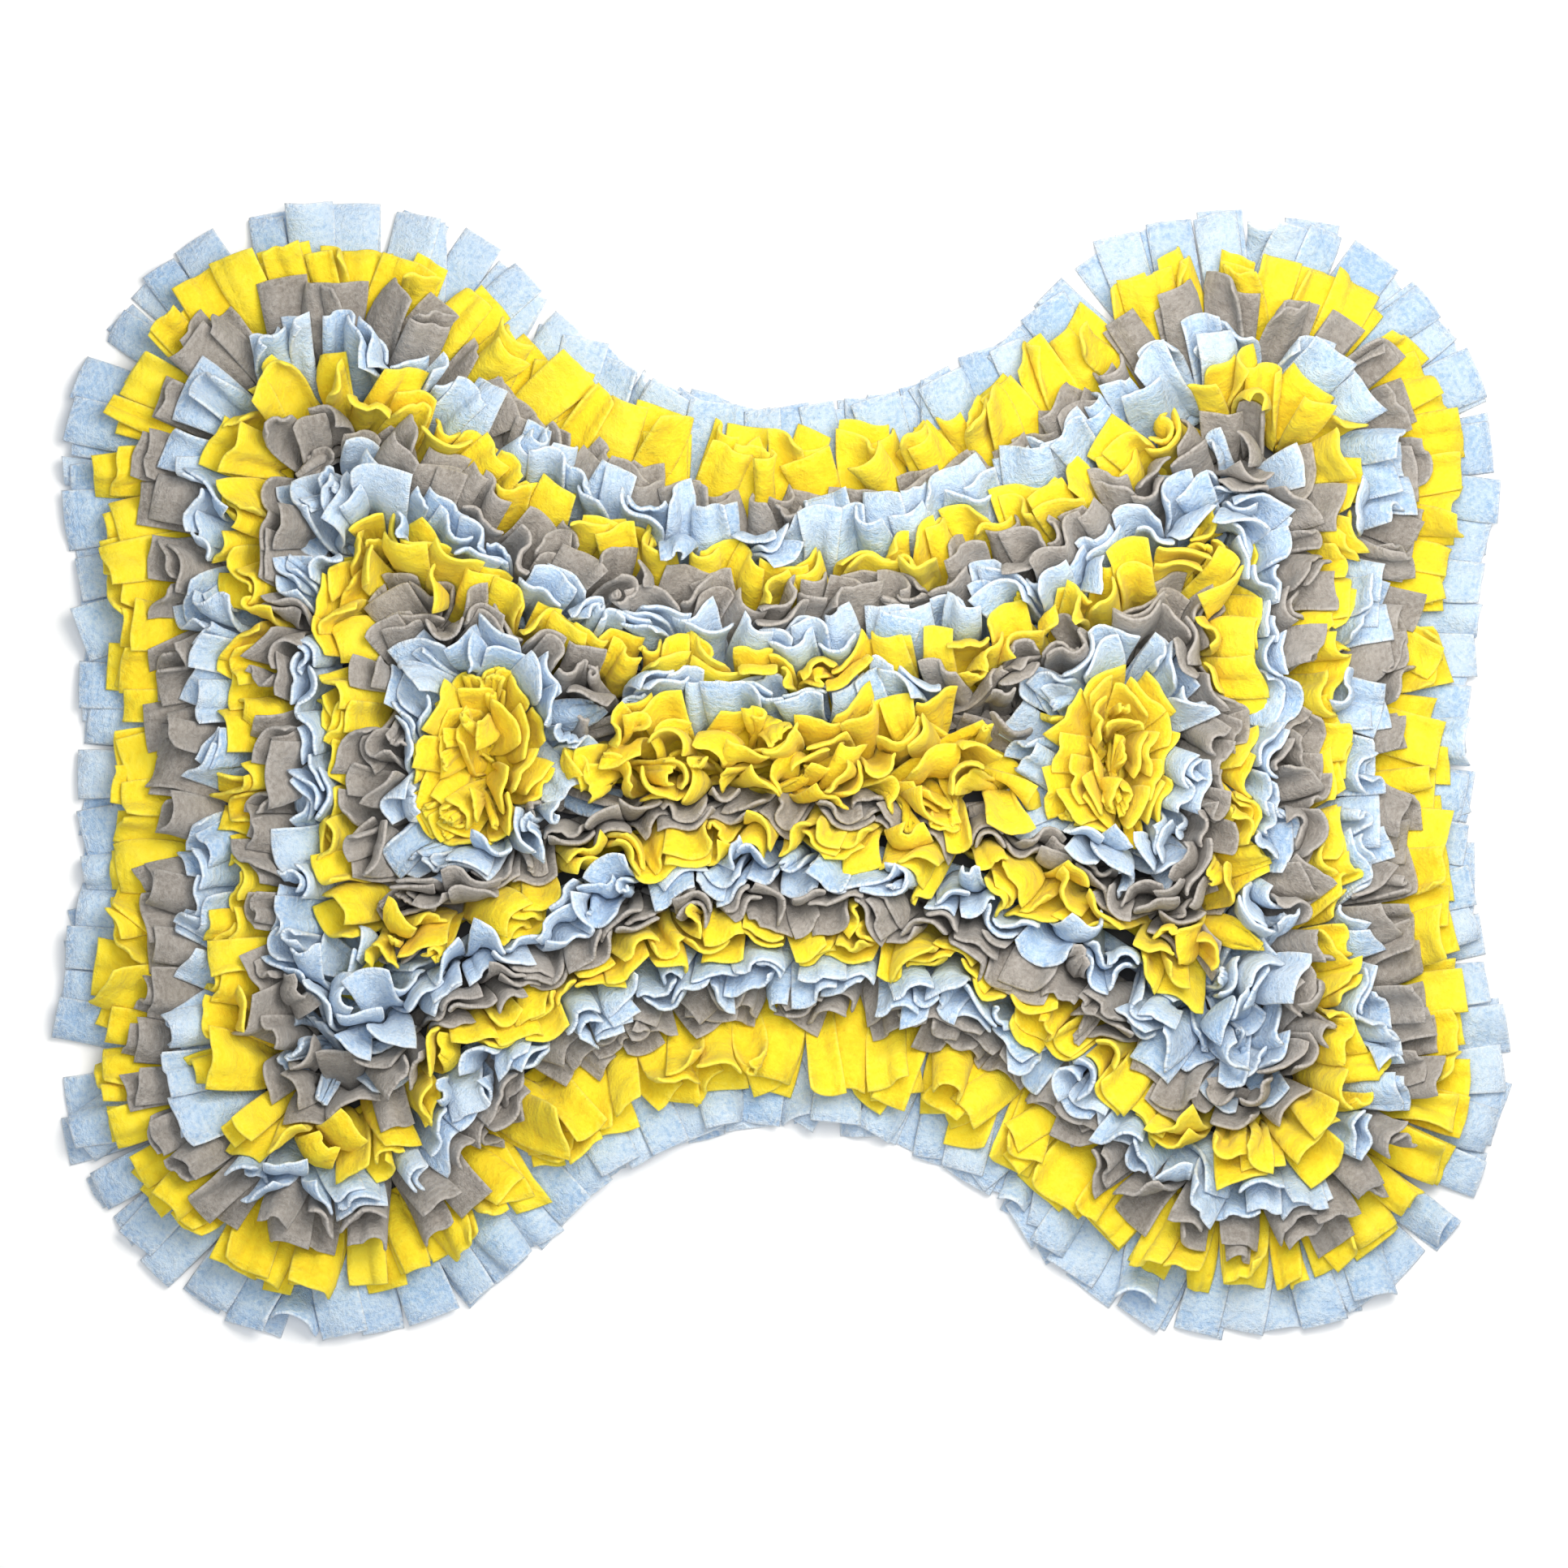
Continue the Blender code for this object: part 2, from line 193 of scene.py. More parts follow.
PANEL_AROUND = 640  # points round the panel
PANEL_GIRTH = 2.1  # length of the panel's edge, for its cloth map
PANEL_CORNER = 0.016  # radius of its rings' tightest turn
SEWN_ROWS = 9
SEWN_INSETS = FIRST_INSET + ROW_PITCH * np.arange(SEWN_ROWS)
SEAM_HALF = 0.0011  # half the width of a row of stitching
SEAM_DENT = 0.0004
EDGE_ROUND = 0.0009


def panel_ring(inset):
    """Half the points run along the far side, left to right, and half back along the near side.

    Each half starts half a step past the spine's line, so every point faces its partner across it.
    """
    line = outline(inset, PANEL_CORNER)[0]
    above = np.abs(line[:, 1] - np.interp(line[:, 0], *np.array(SPINE).T))
    left, right = (np.argmin(above + (side * line[:, 0] < 0)) for side in (-1, 1))
    turn = (right - left) % len(line)
    line = np.roll(line, -left, axis=0)
    halves = [line[: turn + 1], np.vstack([line[turn:], line[:1]])]
    return np.concatenate([spaced(half, PANEL_AROUND + 1, closed=False)[1::2] for half in halves])


def panel_rings():
    """Rings from the edge to the seams and the spine, with the dent of each and its inset.

    Each seam has a ring on it and one on either side, and the last rings close on the spine:
    a point there is moved towards the nearest place on the spine by a growing share.
    """
    insets = [0.0, EDGE_ROUND]
    for seam in SEWN_INSETS:
        insets += [seam - SEAM_HALF, seam, seam + SEAM_HALF]
    insets = sorted(insets)
    rings = [panel_ring(inset) for inset in insets]
    dents = [SEAM_DENT if np.abs(SEWN_INSETS - inset).min() < 1e-9 else 0.0 for inset in insets]
    start, end = (np.array(point) for point in SPINE)
    along = np.clip((rings[-1] - start) @ (end - start) / ((end - start) @ (end - start)), 0, 1)
    spine = start + along[:, None] * (end - start)
    for share in (0.25, 0.5, 0.75, 0.98):
        rings.append(rings[-1] * (1 - share) + spine * share)
        dents.append(0.0)
        insets.append(insets[-1] + 0.006)  # for the cloth map
    return np.array(rings), np.array(dents), np.array(insets)


def panel_mesh():
    """Underside from the spine out, a rounded edge, and the top back in to the spine.

    A strip of faces across the slit that is left along the spine closes each side.
    """
    rings, dents, insets = panel_rings()
    count = len(rings)
    at_edge = np.arange(count) == 0
    low = np.where(at_edge, EDGE_ROUND, 0.0) + dents
    high = np.where(at_edge, PANEL_TOP - EDGE_ROUND, PANEL_TOP)
    order = np.concatenate([np.arange(count)[::-1], np.arange(count)])
    grid = (2 * count, PANEL_AROUND)
    heights = np.broadcast_to(np.concatenate([low[::-1], high])[:, None], grid)
    points = np.concatenate([rings[order], heights[..., None]], axis=2)
    run = np.broadcast_to(np.arange(PANEL_AROUND) * PANEL_GIRTH / PANEL_AROUND, grid)
    depth = np.broadcast_to(insets[order][:, None], grid)
    uv = np.stack([run, depth], axis=2)
    one = np.arange(PANEL_AROUND // 2)
    other = PANEL_AROUND - 1 - one
    cap = np.stack([one, other, np.roll(other, 1), np.roll(one, 1)], axis=1)[1:]
    top_cap = cap + (2 * count - 1) * PANEL_AROUND
    faces = np.concatenate([shell_faces(2 * count, PANEL_AROUND), cap[:, ::-1], top_cap])
    return points.reshape(-1, 3), faces[:, ::-1], uv.reshape(-1, 2)


class Wire:
    """One output of a shader node. Sums, differences and products of wires add Math nodes."""

    def __init__(self, tree, socket=None):
        self.tree, self.socket = tree, socket

    def node(self, kind, settings=None, output=None, **sockets):
        """Adds any node: its settings first, then the values or wires of its sockets.

        The wire that comes back is the output of that name, or else the first one in use.
        """
        node = self.tree.nodes.new(kind)
        for title, value in (settings or {}).items():
            if title == "stops":
                while len(node.color_ramp.elements) < len(value):
                    node.color_ramp.elements.new(0.5)
                for element, (place, colour) in zip(node.color_ramp.elements, value):
                    element.position, element.color = place, colour
            else:
                setattr(node, title, value)
        for title, value in sockets.items():
            wanted = title.replace("_", " ")
            found = next(s for s in node.inputs if s.enabled and s.name.lower() == wanted.lower())
            self.plug(found, value)
        outputs = [s for s in node.outputs if s.enabled and output in (None, s.name)]
        return Wire(self.tree, outputs[0])

    def plug(self, socket, value):
        """A wire is linked; a number or colour is set on the socket itself."""
        if isinstance(value, Wire):
            self.tree.links.new(value.socket, socket)
        else:
            socket.default_value = value

    def maths(self, operation, first, second=0.0, clamp=False):
        """Adds a Math node on one or two numbers or wires."""
        node = self.tree.nodes.new("ShaderNodeMath")
        node.operation, node.use_clamp = operation, clamp
        self.plug(node.inputs[0], first)
        self.plug(node.inputs[1], second)
        return Wire(self.tree, node.outputs[0])

    def __add__(self, other):
        return self.maths("ADD", self, other)

    def __radd__(self, other):
        return self.maths("ADD", other, self)

    def __sub__(self, other):
        return self.maths("SUBTRACT", self, other)

    def __rsub__(self, other):
        return self.maths("SUBTRACT", other, self)

    def __mul__(self, other):
        return self.maths("MULTIPLY", self, other)

    def __rmul__(self, other):
        return self.maths("MULTIPLY", other, self)

    def blend(self, low, high):
        """From colour low where this wire is 0 to colour high where it is 1."""
        return self.node(
            "ShaderNodeMix", {"data_type": "RGBA", "clamp_factor": True}, factor=self, a=low, b=high
        )


def new_finish(name, **constants):
    """A material with one Principled shader: a wire to build on, and its shader node."""
    material = bpy.data.materials.new(name)
    material.use_nodes = True
    shader = material.node_tree.nodes["Principled BSDF"]
    for title, value in constants.items():
        shader.inputs[title.replace("_", " ")].default_value = value
    return material, Wire(material.node_tree), shader


WEAVE_PITCH = 0.0009


def slate_canvas():
    """Plain woven cloth: the product of two crossed waves WEAVE_PITCH long, a little clouded."""
    material, wire, shader = new_finish("slate_canvas", Roughness=0.85, Sheen_Weight=0.15)
    place = wire.node("ShaderNodeTexCoord", output="Object")
    x, y = (wire.node("ShaderNodeSeparateXYZ", output=axis, vector=place) for axis in "XY")
    warp, weft = (wire.maths("SINE", axis * (2 * math.pi / WEAVE_PITCH)) for axis in (x, y))
    weave = warp * weft * 0.5 + 0.5
    cloud = wire.node("ShaderNodeTexNoise", vector=place, scale=35.0, detail=3.0)
    shade = weave * 0.5 + cloud * 0.5
    dark, pale = (0.030, 0.032, 0.036, 1), (0.085, 0.088, 0.097, 1)
    wire.plug(shader.inputs["Base Color"], shade.blend(dark, pale))
    bump = wire.node("ShaderNodeBump", strength=0.5, distance=0.0002, height=weave)
    wire.plug(shader.inputs["Normal"], bump)
    return material


panel = add_mesh("backing_panel_cloth", *panel_mesh())
panel.data.materials.append(slate_canvas())
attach(panel, "root")
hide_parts("backing_panel")

# ------------------------------------------------------------------ ruffles
# Each ruffle is a strip of fleece folded lengthwise and sewn down along the fold, in waves
# where it is gathered, then cut into square-ended flaps of two plies. The rim row lies
# flat, and each row further in leans on the one before it and crumples against the next.

# How rows 1 to 8, from the rim in, are sewn. gather: the steepest heading of the sewn waves,
# in degrees; pleat: how much of it is added in the waists; wave: the waves' height; curl:
# the share of the cloth's own curl; corner: the tightest turn; full: how much more cloth
# goes in; spill: how much of the room that opens round a lobe is filled with more cloth.
SEWING_KEYS = ("colour", "gather", "pleat", "wave", "curl", "corner", "full", "spill")
SEWING = (
    ("sky", 0, 0, 0.0, 0.25, 0.009, 1.0, 0.92),
    ("yolk", 8, 60, 0.0016, 0.8, 0.009, 1.13, 0.92),
    ("taupe", 54, 40, 0.0030, 0.90, 0.009, 1.0, 0.92),
    ("sky", 62, 20, 0.0036, 1.0, 0.009, 1.0, 0.92),
    ("yolk", 68, 12, 0.0040, 1.0, 0.009, 1.0, 0.92),
    ("taupe", 71, 10, 0.0040, 1.0, 0.010, 1.0, 0.62),
    ("sky", 72, 8, 0.0040, 1.0, 0.012, 1.0, 0.92),
    ("yolk", 72, 6, 0.0040, 1.0, 0.014, 1.0, 0.92),
)
# How far their flaps lean back from lying outward, in degrees, at the mat's sides, in its
# far and near waists and round its far and near lobes; right: what is added down the right
# side; trim: the share cut off in the two waists and round the two lobes.
LEAN_KEYS = ("side", "far_waist", "near_waist", "far_lobe", "near_lobe", "right", "trim")
LEANS = (
    (4, 4, 4, 4, 4, 0, (0, 0, -0.09, 0)),
    (12, 30, 38, 8, 20, 0, (0, 0, 0, 0.13)),
    (57, 82, 95, 38, 74, 12, (0.18, 0.26, 0, 0)),
    (46, 32, 56, 39, 43, -10, (-0.10, 0, 0, 0)),
    (65, 63, 70, 49, 60, -2, (0, 0, 0, 0)),
    (66, 71, 80, 84, 94, 10, (0, 0, 0.26, 0.26)),
    (54, 66, 92, 55, 69, 12, (0, 0, 0, 0)),
    (51, 75, 86, 47, 80, 9, (0, 0, 0, 0)),
)
RINGS = [dict(zip(SEWING_KEYS + LEAN_KEYS, row[0] + row[1])) for row in zip(SEWING, LEANS)]
NINTH_CORNER = 0.016
NINTH_SPLIT = 0.078  # the ninth row is blue between these x, across the far waist
STRIP_GAP = 0.002  # between the ends of two strips in that row
FLAP_WIDTH = 0.0232
FLAP_LENGTH = 0.048
ROOT_HEIGHT = 0.0062  # the flaps leave their sewn fold this high
LEAF = 0.0017  # each ply stands this far from the middle of its fold
FLEECE = 0.0027  # thickness of one ply
SEED = 7
# A strip's ways, unless it has its own. level: its place in the pile, from the rim up;
# unruly, stray: how far flaps lean or turn aside at will, in degrees; nod: how much more
# the inner ply leans back; inner: what is added where flaps point to the mat's middle.
USUAL = {"closed": False, "level": 0, "curl": 1.0, "unruly": 0, "stray": 17, "nod": 0, "inner": 0}
USUAL |= {"pleat": 0, "full": 1.0, "spill": 0.92, "right": 0, "trim": (0, 0, 0, 0)}
USUAL["length"] = FLAP_LENGTH


def new_ruffle(name, seam, lean=0, **ways):
    """A strip to sew: lean is its flaps' lean everywhere, less 13 degrees where its seam opens."""
    leans = dict.fromkeys(("side", "far_waist", "near_waist"), lean)
    leans |= dict.fromkeys(("far_lobe", "near_lobe"), lean - 13)
    return {**USUAL, **leans, "name": name, "seam": seam, **ways}


def oval(x, y, half_width, half_height, count=400):
    """Clockwise: the half sizes times cosine and sine, with normals across the ellipse."""
    angles = -np.linspace(0, 2 * math.pi, count, endpoint=False)
    half = np.array([half_width, half_height])
    around = np.stack([np.cos(angles), np.sin(angles)], axis=1)
    normals = around / half
    return np.array([x, y]) + half * around, normals / np.linalg.norm(normals, axis=1)[:, None]


def stretch(seam, kept):
    """The one run of a closed seam whose points are marked in kept."""
    points, normals = seam
    first = int(np.flatnonzero(kept & ~np.roll(kept, 1))[0])
    points, normals, kept = (np.roll(part, -first, axis=0) for part in (points, normals, kept))
    length = int(np.argmin(kept))
    return points[:length], normals[:length]


def straight(start, end, count=200):
    """From start to end, with the outward side on the left."""
    way = np.array(end, float) - np.array(start, float)
    normal = np.array([-way[1], way[0]]) / np.hypot(*way)
    return np.linspace(start, end, count), np.tile(normal, (count, 1))


ninth = outline(FIRST_INSET + 8 * ROW_PITCH, NINTH_CORNER)
ninth_x, ninth_y = ninth[0].T
left_end, right_end = SPINE
# The ways of the ninth row, the loops round the knots, the knots, the middle and two fillers.
steep = dict(zip(LEAN_KEYS, (50, 70, 88, 57, 62, 0, (0, 0.32, 0, 0))))
steep |= {"gather": 72, "wave": 0.0040, "level": 9}
loop = {"closed": True, "level": 10, "lean": 70, "inner": 18}
loop |= {"gather": 60, "wave": 0.0030, "full": 1.2}
knot = {"closed": True, "gather": 32, "wave": 0.0012, "curl": 0.35, "length": 0.040}
knot |= {"inner": 22, "unruly": 9, "stray": 20}
middle = {"gather": 77, "wave": 0.0042, "full": 1.5, "nod": 18, "unruly": 7, "stray": 26}
filler = {"level": 9.5, "lean": 74, "gather": 60, "wave": 0.0025, "length": 0.044}
ruffles = [
    new_ruffle(
        f"row_{index + 1:02d}_{ring['colour']}",
        outline(FIRST_INSET + index * ROW_PITCH, ring["corner"]),
        closed=True,
        level=index + 1,
        **ring,
    )
    for index, ring in enumerate(RINGS)
]
for name, kept in (
    ("row_09_taupe_left", (ninth_x < -NINTH_SPLIT) | ((ninth_y < 0) & (ninth_x < 0))),
    ("row_09_taupe_right", (ninth_x > NINTH_SPLIT) | ((ninth_y < 0) & (ninth_x > STRIP_GAP))),
    ("row_09_sky_middle", (abs(ninth_x) < NINTH_SPLIT - STRIP_GAP) & (ninth_y > 0)),
):
    ruffles.append(new_ruffle(name, stretch(ninth, kept), **steep))
ruffles += [
    new_ruffle("row_10_sky_left", oval(*left_end, 0.0205, 0.036), **loop),
    new_ruffle("row_10_sky_right", oval(*right_end, 0.0175, 0.036), **loop),
    new_ruffle("row_11_yolk_left", oval(*left_end, 0.009, 0.022), level=11, lean=46, **knot),
    new_ruffle("row_11_yolk_right", oval(*right_end, 0.006, 0.018), level=11, lean=52, **knot),
    new_ruffle("row_11_yolk_left", oval(*left_end, 0.003, 0.012), level=11.3, lean=62, **knot),
    new_ruffle("row_11_yolk_right", oval(*right_end, 0.002, 0.010), level=11.3, lean=66, **knot),
    new_ruffle(
        "middle_yolk_far", straight((-0.087, 0.0062), (0.105, 0.0062)), lean=54, level=12, **middle
    ),
    new_ruffle(
        "middle_yolk_near", straight((0.110, -0.0022), (-0.087, -0.0022)), lean=36, level=13, **middle
    ),
    new_ruffle("row_09_taupe_left", straight((-0.103, 0.020), (-0.103, -0.020)), **filler),
    new_ruffle("row_09_taupe_right", straight((0.124, -0.018), (0.124, 0.022)), **filler),
]

# A short coil fills the middle of the tight turns of rows 6, 7 and 8. It is part of the next
# row's strip, and in row 7's near turns it is part of the row's own.
COIL_RADIUS = 0.004
COIL_INWARD = 0.2  # its place, as a share of the way to the next row's turn
coil = {"lean": 76, "gather": 50, "wave": 0.0010, "curl": 0.8, "full": 0.6, "length": 0.036}
for index, names in (
    (5, ["row_07_sky"] * 4),
    (6, ["row_08_yolk", "row_08_yolk", "row_07_sky", "row_07_sky"]),
    (7, ["row_09_taupe_left", "row_09_taupe_right", "row_09_taupe_right", "row_09_taupe_left"]),
):
    corners = turnings(FIRST_INSET + index * ROW_PITCH, RINGS[index]["corner"])
    inner_corners = turnings(FIRST_INSET + (index + 1) * ROW_PITCH, NINTH_CORNER)
    for corner, inner_corner, name in zip(corners, inner_corners, names):
        centre = (1 - COIL_INWARD) * corner[0] + COIL_INWARD * inner_corner[0]
        seam = oval(*centre, COIL_RADIUS, COIL_RADIUS)
        ruffles.append(new_ruffle(name, seam, closed=True, level=index + 1.5, **coil))

LONG, ACROSS = 7, 8  # points along and across a flap while it settles
FAN_OUT = 0.028  # how a seam opens or closes is measured this far out from it
FAN_EVEN = 14  # and evened out over this many points to either side


def fanning(seam, closed):
    """Distance run along a seam, and how many times longer the line FAN_OUT outside it is."""
    points, normals = seam
    if closed:
        points, normals = np.vstack([points, points[:1]]), np.vstack([normals, normals[:1]])
    inner = np.hypot(*np.diff(points, axis=0).T)
    outer = np.hypot(*np.diff(points + FAN_OUT * normals, axis=0).T)
    run = np.concatenate([[0.0], np.cumsum(inner)])
    fan = np.concatenate([outer / np.maximum(inner, 1e-6), [1.0]])
    fan[-1] = fan[-2]
    padded = np.pad(fan, FAN_EVEN, mode="wrap" if closed else "edge")
    fan = np.convolve(padded, np.ones(2 * FAN_EVEN + 1) / (2 * FAN_EVEN + 1), "valid")
    return points, normals, run, fan


def hollowness(fan):
    """From 0 on straight and bulging seams to 1 where a seam closes in by 12% or more."""
    return np.clip((1.0 - fan) / 0.12, 0, 1)


def opening(fan):
    """From 0 on straight and hollow seams to 1 where a seam opens out by 15% or more."""
    return np.clip((fan - 1) / 0.15, 0, 1)


STEPS_OF_WAVE = 8  # in each half wave of a sewn strip
STEEPEST = 84  # degrees that a strip ever turns from its seam
PLEAT_HEIGHT = 0.00006  # added to a wave for each degree of pleat
SHORTEST_WAVE = 0.006  # half a wave, along the strip
PLAIN_STEP = 0.012  # the same where a strip isn't gathered


def meander(run, fan, ruffle, rng):
    """The wavy line in which a strip is sewn, as columns along, aside, cloth and heading.

    Each half wave turns up to its steepest heading and back, evenly: along grows with the
    heading's cosine and aside with its sine. Where the seam fans out, more cloth goes in.
    """
    gather, pleat = ruffle["gather"], ruffle["pleat"]
    middle_of_bend = 1 - np.abs(2 * (np.arange(STEPS_OF_WAVE) + 0.5) / STEPS_OF_WAVE - 1)
    along, aside, cloth, side = 0.0, 0.0, 0.0, 1
    rows = [(0.0, 0.0, 0.0, 0.0)]
    while along < run[-1]:
        spread = float(np.interp(along, run, fan))
        crowd = float(hollowness(spread)) if gather else 0.0
        steepest = math.radians(gather + pleat * crowd) * rng.uniform(0.75, 1.1)
        if gather:
            wanted = math.acos(np.clip(2 / max(spread, 1.0) - 1.15, -0.2, 1))
            steepest = min(max(steepest, wanted), math.radians(STEEPEST))
            height = (ruffle["wave"] + PLEAT_HEIGHT * pleat * crowd) * rng.uniform(0.5, 1.2)
            depth = abs(side * height - aside)
            length = max(depth * steepest / (1 - math.cos(steepest)), SHORTEST_WAVE)
        else:
            steepest, length = 0.0, PLAIN_STEP
        headings = side * steepest * middle_of_bend
        step = length / STEPS_OF_WAVE
        gain = 1 / max(float(np.cos(headings).mean()), 0.05)
        extra = max(1.0, ruffle["spill"] * spread / gain) * ruffle["full"] if gather else 1.0
        for heading in headings:
            along += math.cos(heading) * step
            aside += math.sin(heading) * step
            cloth += step * extra
            rows.append((along, aside, cloth, heading))
        side = -side
    along, aside, cloth, heading = np.array(rows).T
    return along * run[-1] / along[-1], aside, cloth, heading


CUT_SHARE = 0.94  # of a flap's stretch of cloth is left between its cuts
CUT_ASTRAY = 0.2  # a cut is off its even place by up to this share of a flap
PLY_SLIP = 0.10  # and its two plies slip along the strip by about this share
FLAP_KEYS = ("level", "curl", "unruly", "stray", "nod", "length", "inner", *LEAN_KEYS[:-1])


def lay_strip(ruffle, rng):
    """Cuts a ruffle's strip into flaps, both plies, and gives each flap's root and way out.

    A root's points lie where their cloth does on the wavy line, with the inner ply LEAF to
    one side of it and the outer ply LEAF to the other.
    """
    closed = ruffle["closed"]
    points, normals, run, fan = fanning(ruffle["seam"], closed)
    along, aside, cloth, heading = meander(run, fan, ruffle, rng)
    if closed:
        aside = aside - np.linspace(0, 1, len(aside)) * (aside[-1] - aside[0])
    if ruffle["gather"]:
        many = max(4, round(cloth[-1] / FLAP_WIDTH))
        cuts = np.linspace(0, cloth[-1], many + 1)
    else:  # flat flaps are spaced where they fan out most
        crowd = np.maximum(fan[:-1], 1) + 0.3 * hollowness(fan[:-1])
        outer = np.concatenate([[0.0], np.cumsum(np.diff(run) * crowd)])
        many = round(outer[-1] / (FLAP_WIDTH * 0.98))
        cuts = np.interp(np.linspace(0, outer[-1], many + 1), outer, run) / run[-1] * cloth[-1]
    cuts[1:-1] += rng.uniform(-CUT_ASTRAY, CUT_ASTRAY, many - 1) * np.diff(cuts)[1:]
    width = np.diff(cuts)
    plies = []
    for ply in (0, 1):
        slip = rng.uniform(-PLY_SLIP, PLY_SLIP, many) * width * (1.4 if ply else 0.5)
        share = np.linspace(0.03, 0.97, ACROSS)
        at = cuts[:-1, None] + width[:, None] * share + slip[:, None]
        at = at % cloth[-1] if closed else np.clip(at, 0, cloth[-1])
        place, shift, turn = (np.interp(at, cloth, column) for column in (along, aside, heading))
        foot = np.stack([np.interp(place, run, points[:, axis]) for axis in (0, 1)], axis=-1)
        out = np.stack([np.interp(place, run, normals[:, axis]) for axis in (0, 1)], axis=-1)
        out /= np.linalg.norm(out, axis=-1, keepdims=True)
        ahead = np.stack([out[..., 1], -out[..., 0]], axis=-1)
        aslant = out * np.cos(turn)[..., None] - ahead * np.sin(turn)[..., None]
        mean_out = out.mean(axis=1)
        plies.append(
            {
                "root": foot + out * shift[..., None] - aslant * (LEAF if ply == 0 else -LEAF),
                "out": mean_out / np.linalg.norm(mean_out, axis=-1, keepdims=True),
                "across": out,
                "bend": np.gradient(turn, axis=1) / (width * CUT_SHARE / (ACROSS - 1))[:, None],
                "fan": np.interp(place.mean(axis=1), run, fan),
                "place": place.mean(axis=1),
                "ply": np.full(many, ply),
                "number": np.arange(many),
                "width": width * CUT_SHARE,
            }
        )
    laid = {key: np.concatenate([part[key] for part in plies]) for key in plies[0]}
    for key in FLAP_KEYS:
        laid[key] = np.full(2 * many, float(ruffle[key]))
    laid["flat"] = np.full(2 * many, ruffle["gather"] == 0)
    laid["trim"] = np.tile(ruffle["trim"], (2 * many, 1))
    return laid


laid = [
    lay_strip(ruffle, np.random.default_rng((SEED, index))) for index, ruffle in enumerate(ruffles)
]
strip = np.concatenate([np.full(len(part["ply"]), index) for index, part in enumerate(laid)])
flap = {key: np.concatenate([part[key] for part in laid]) for key in laid[0]}
flap_count = len(strip)
rng = np.random.default_rng(SEED)


def by_place(side, far_waist, near_waist, far_lobe, near_lobe):
    """A row's value at each flap, from its value in five places.

    The sides' goes over to the waists' where the seam closes in, and to the lobes' where it
    opens, and between the far and the near one the flap's way out decides.
    """
    outward_y = flap["out"][:, 1]
    far = np.clip(0.5 + outward_y, 0, 1)
    waist = near_waist + far * (far_waist - near_waist)
    lobe = near_lobe + far * (far_lobe - near_lobe)
    value = side + hollowness(flap["fan"]) * np.abs(outward_y) * (waist - side)
    return value + opening(flap["fan"]) * (lobe - side)


SLOW_SWAY, QUICK_SWAY = 8, 6  # degrees to either side
SLOW_WAVE, QUICK_WAVE = 0.115, 0.047  # and how far along the seam from one sway to the next
MOST_LEAN = 95  # degrees
TOP_LEVEL, MOST_LEAN_ON_TOP = 11.2, 108  # flaps above that level may lean back further


def lean_angles():
    """How far each flap leans back from lying outward, in radians.

    That is its row's lean, a chance part, and two sines that sway each row to and fro.
    """
    lean = by_place(*(flap[key] for key in LEAN_KEYS[:5]))
    lean += flap["right"] * np.clip(2 * flap["out"][:, 0] - 0.6, 0, 1)
    to_middle = -flap["out"][:, 0] * np.sign(flap["root"][:, 0, 0])
    lean += flap["inner"] * np.clip(2 * to_middle - 0.2, 0, 1)
    unruly = rng.normal(0, 1, flap_count) * (11 * np.clip(flap["curl"], 0.12, 1) + flap["unruly"])
    phase = 2.4 * strip + 0.5 * flap["ply"]
    sway = SLOW_SWAY * np.sin(2 * math.pi * flap["place"] / SLOW_WAVE + phase)
    sway += QUICK_SWAY * np.sin(2 * math.pi * flap["place"] / QUICK_WAVE + 2 * phase)
    lean += sway * flap["curl"] + unruly
    most = np.where(flap["level"] > TOP_LEVEL, MOST_LEAN_ON_TOP, MOST_LEAN)
    return np.radians(np.minimum(lean, most) + flap["nod"] * (flap["ply"] == 0))


def cut_lengths():
    """How long each column of a flap is cut, as a share: the end is cut a little askew."""
    return 1 + flap["askew"][:, None] * np.linspace(-0.5, 0.5, ACROSS)


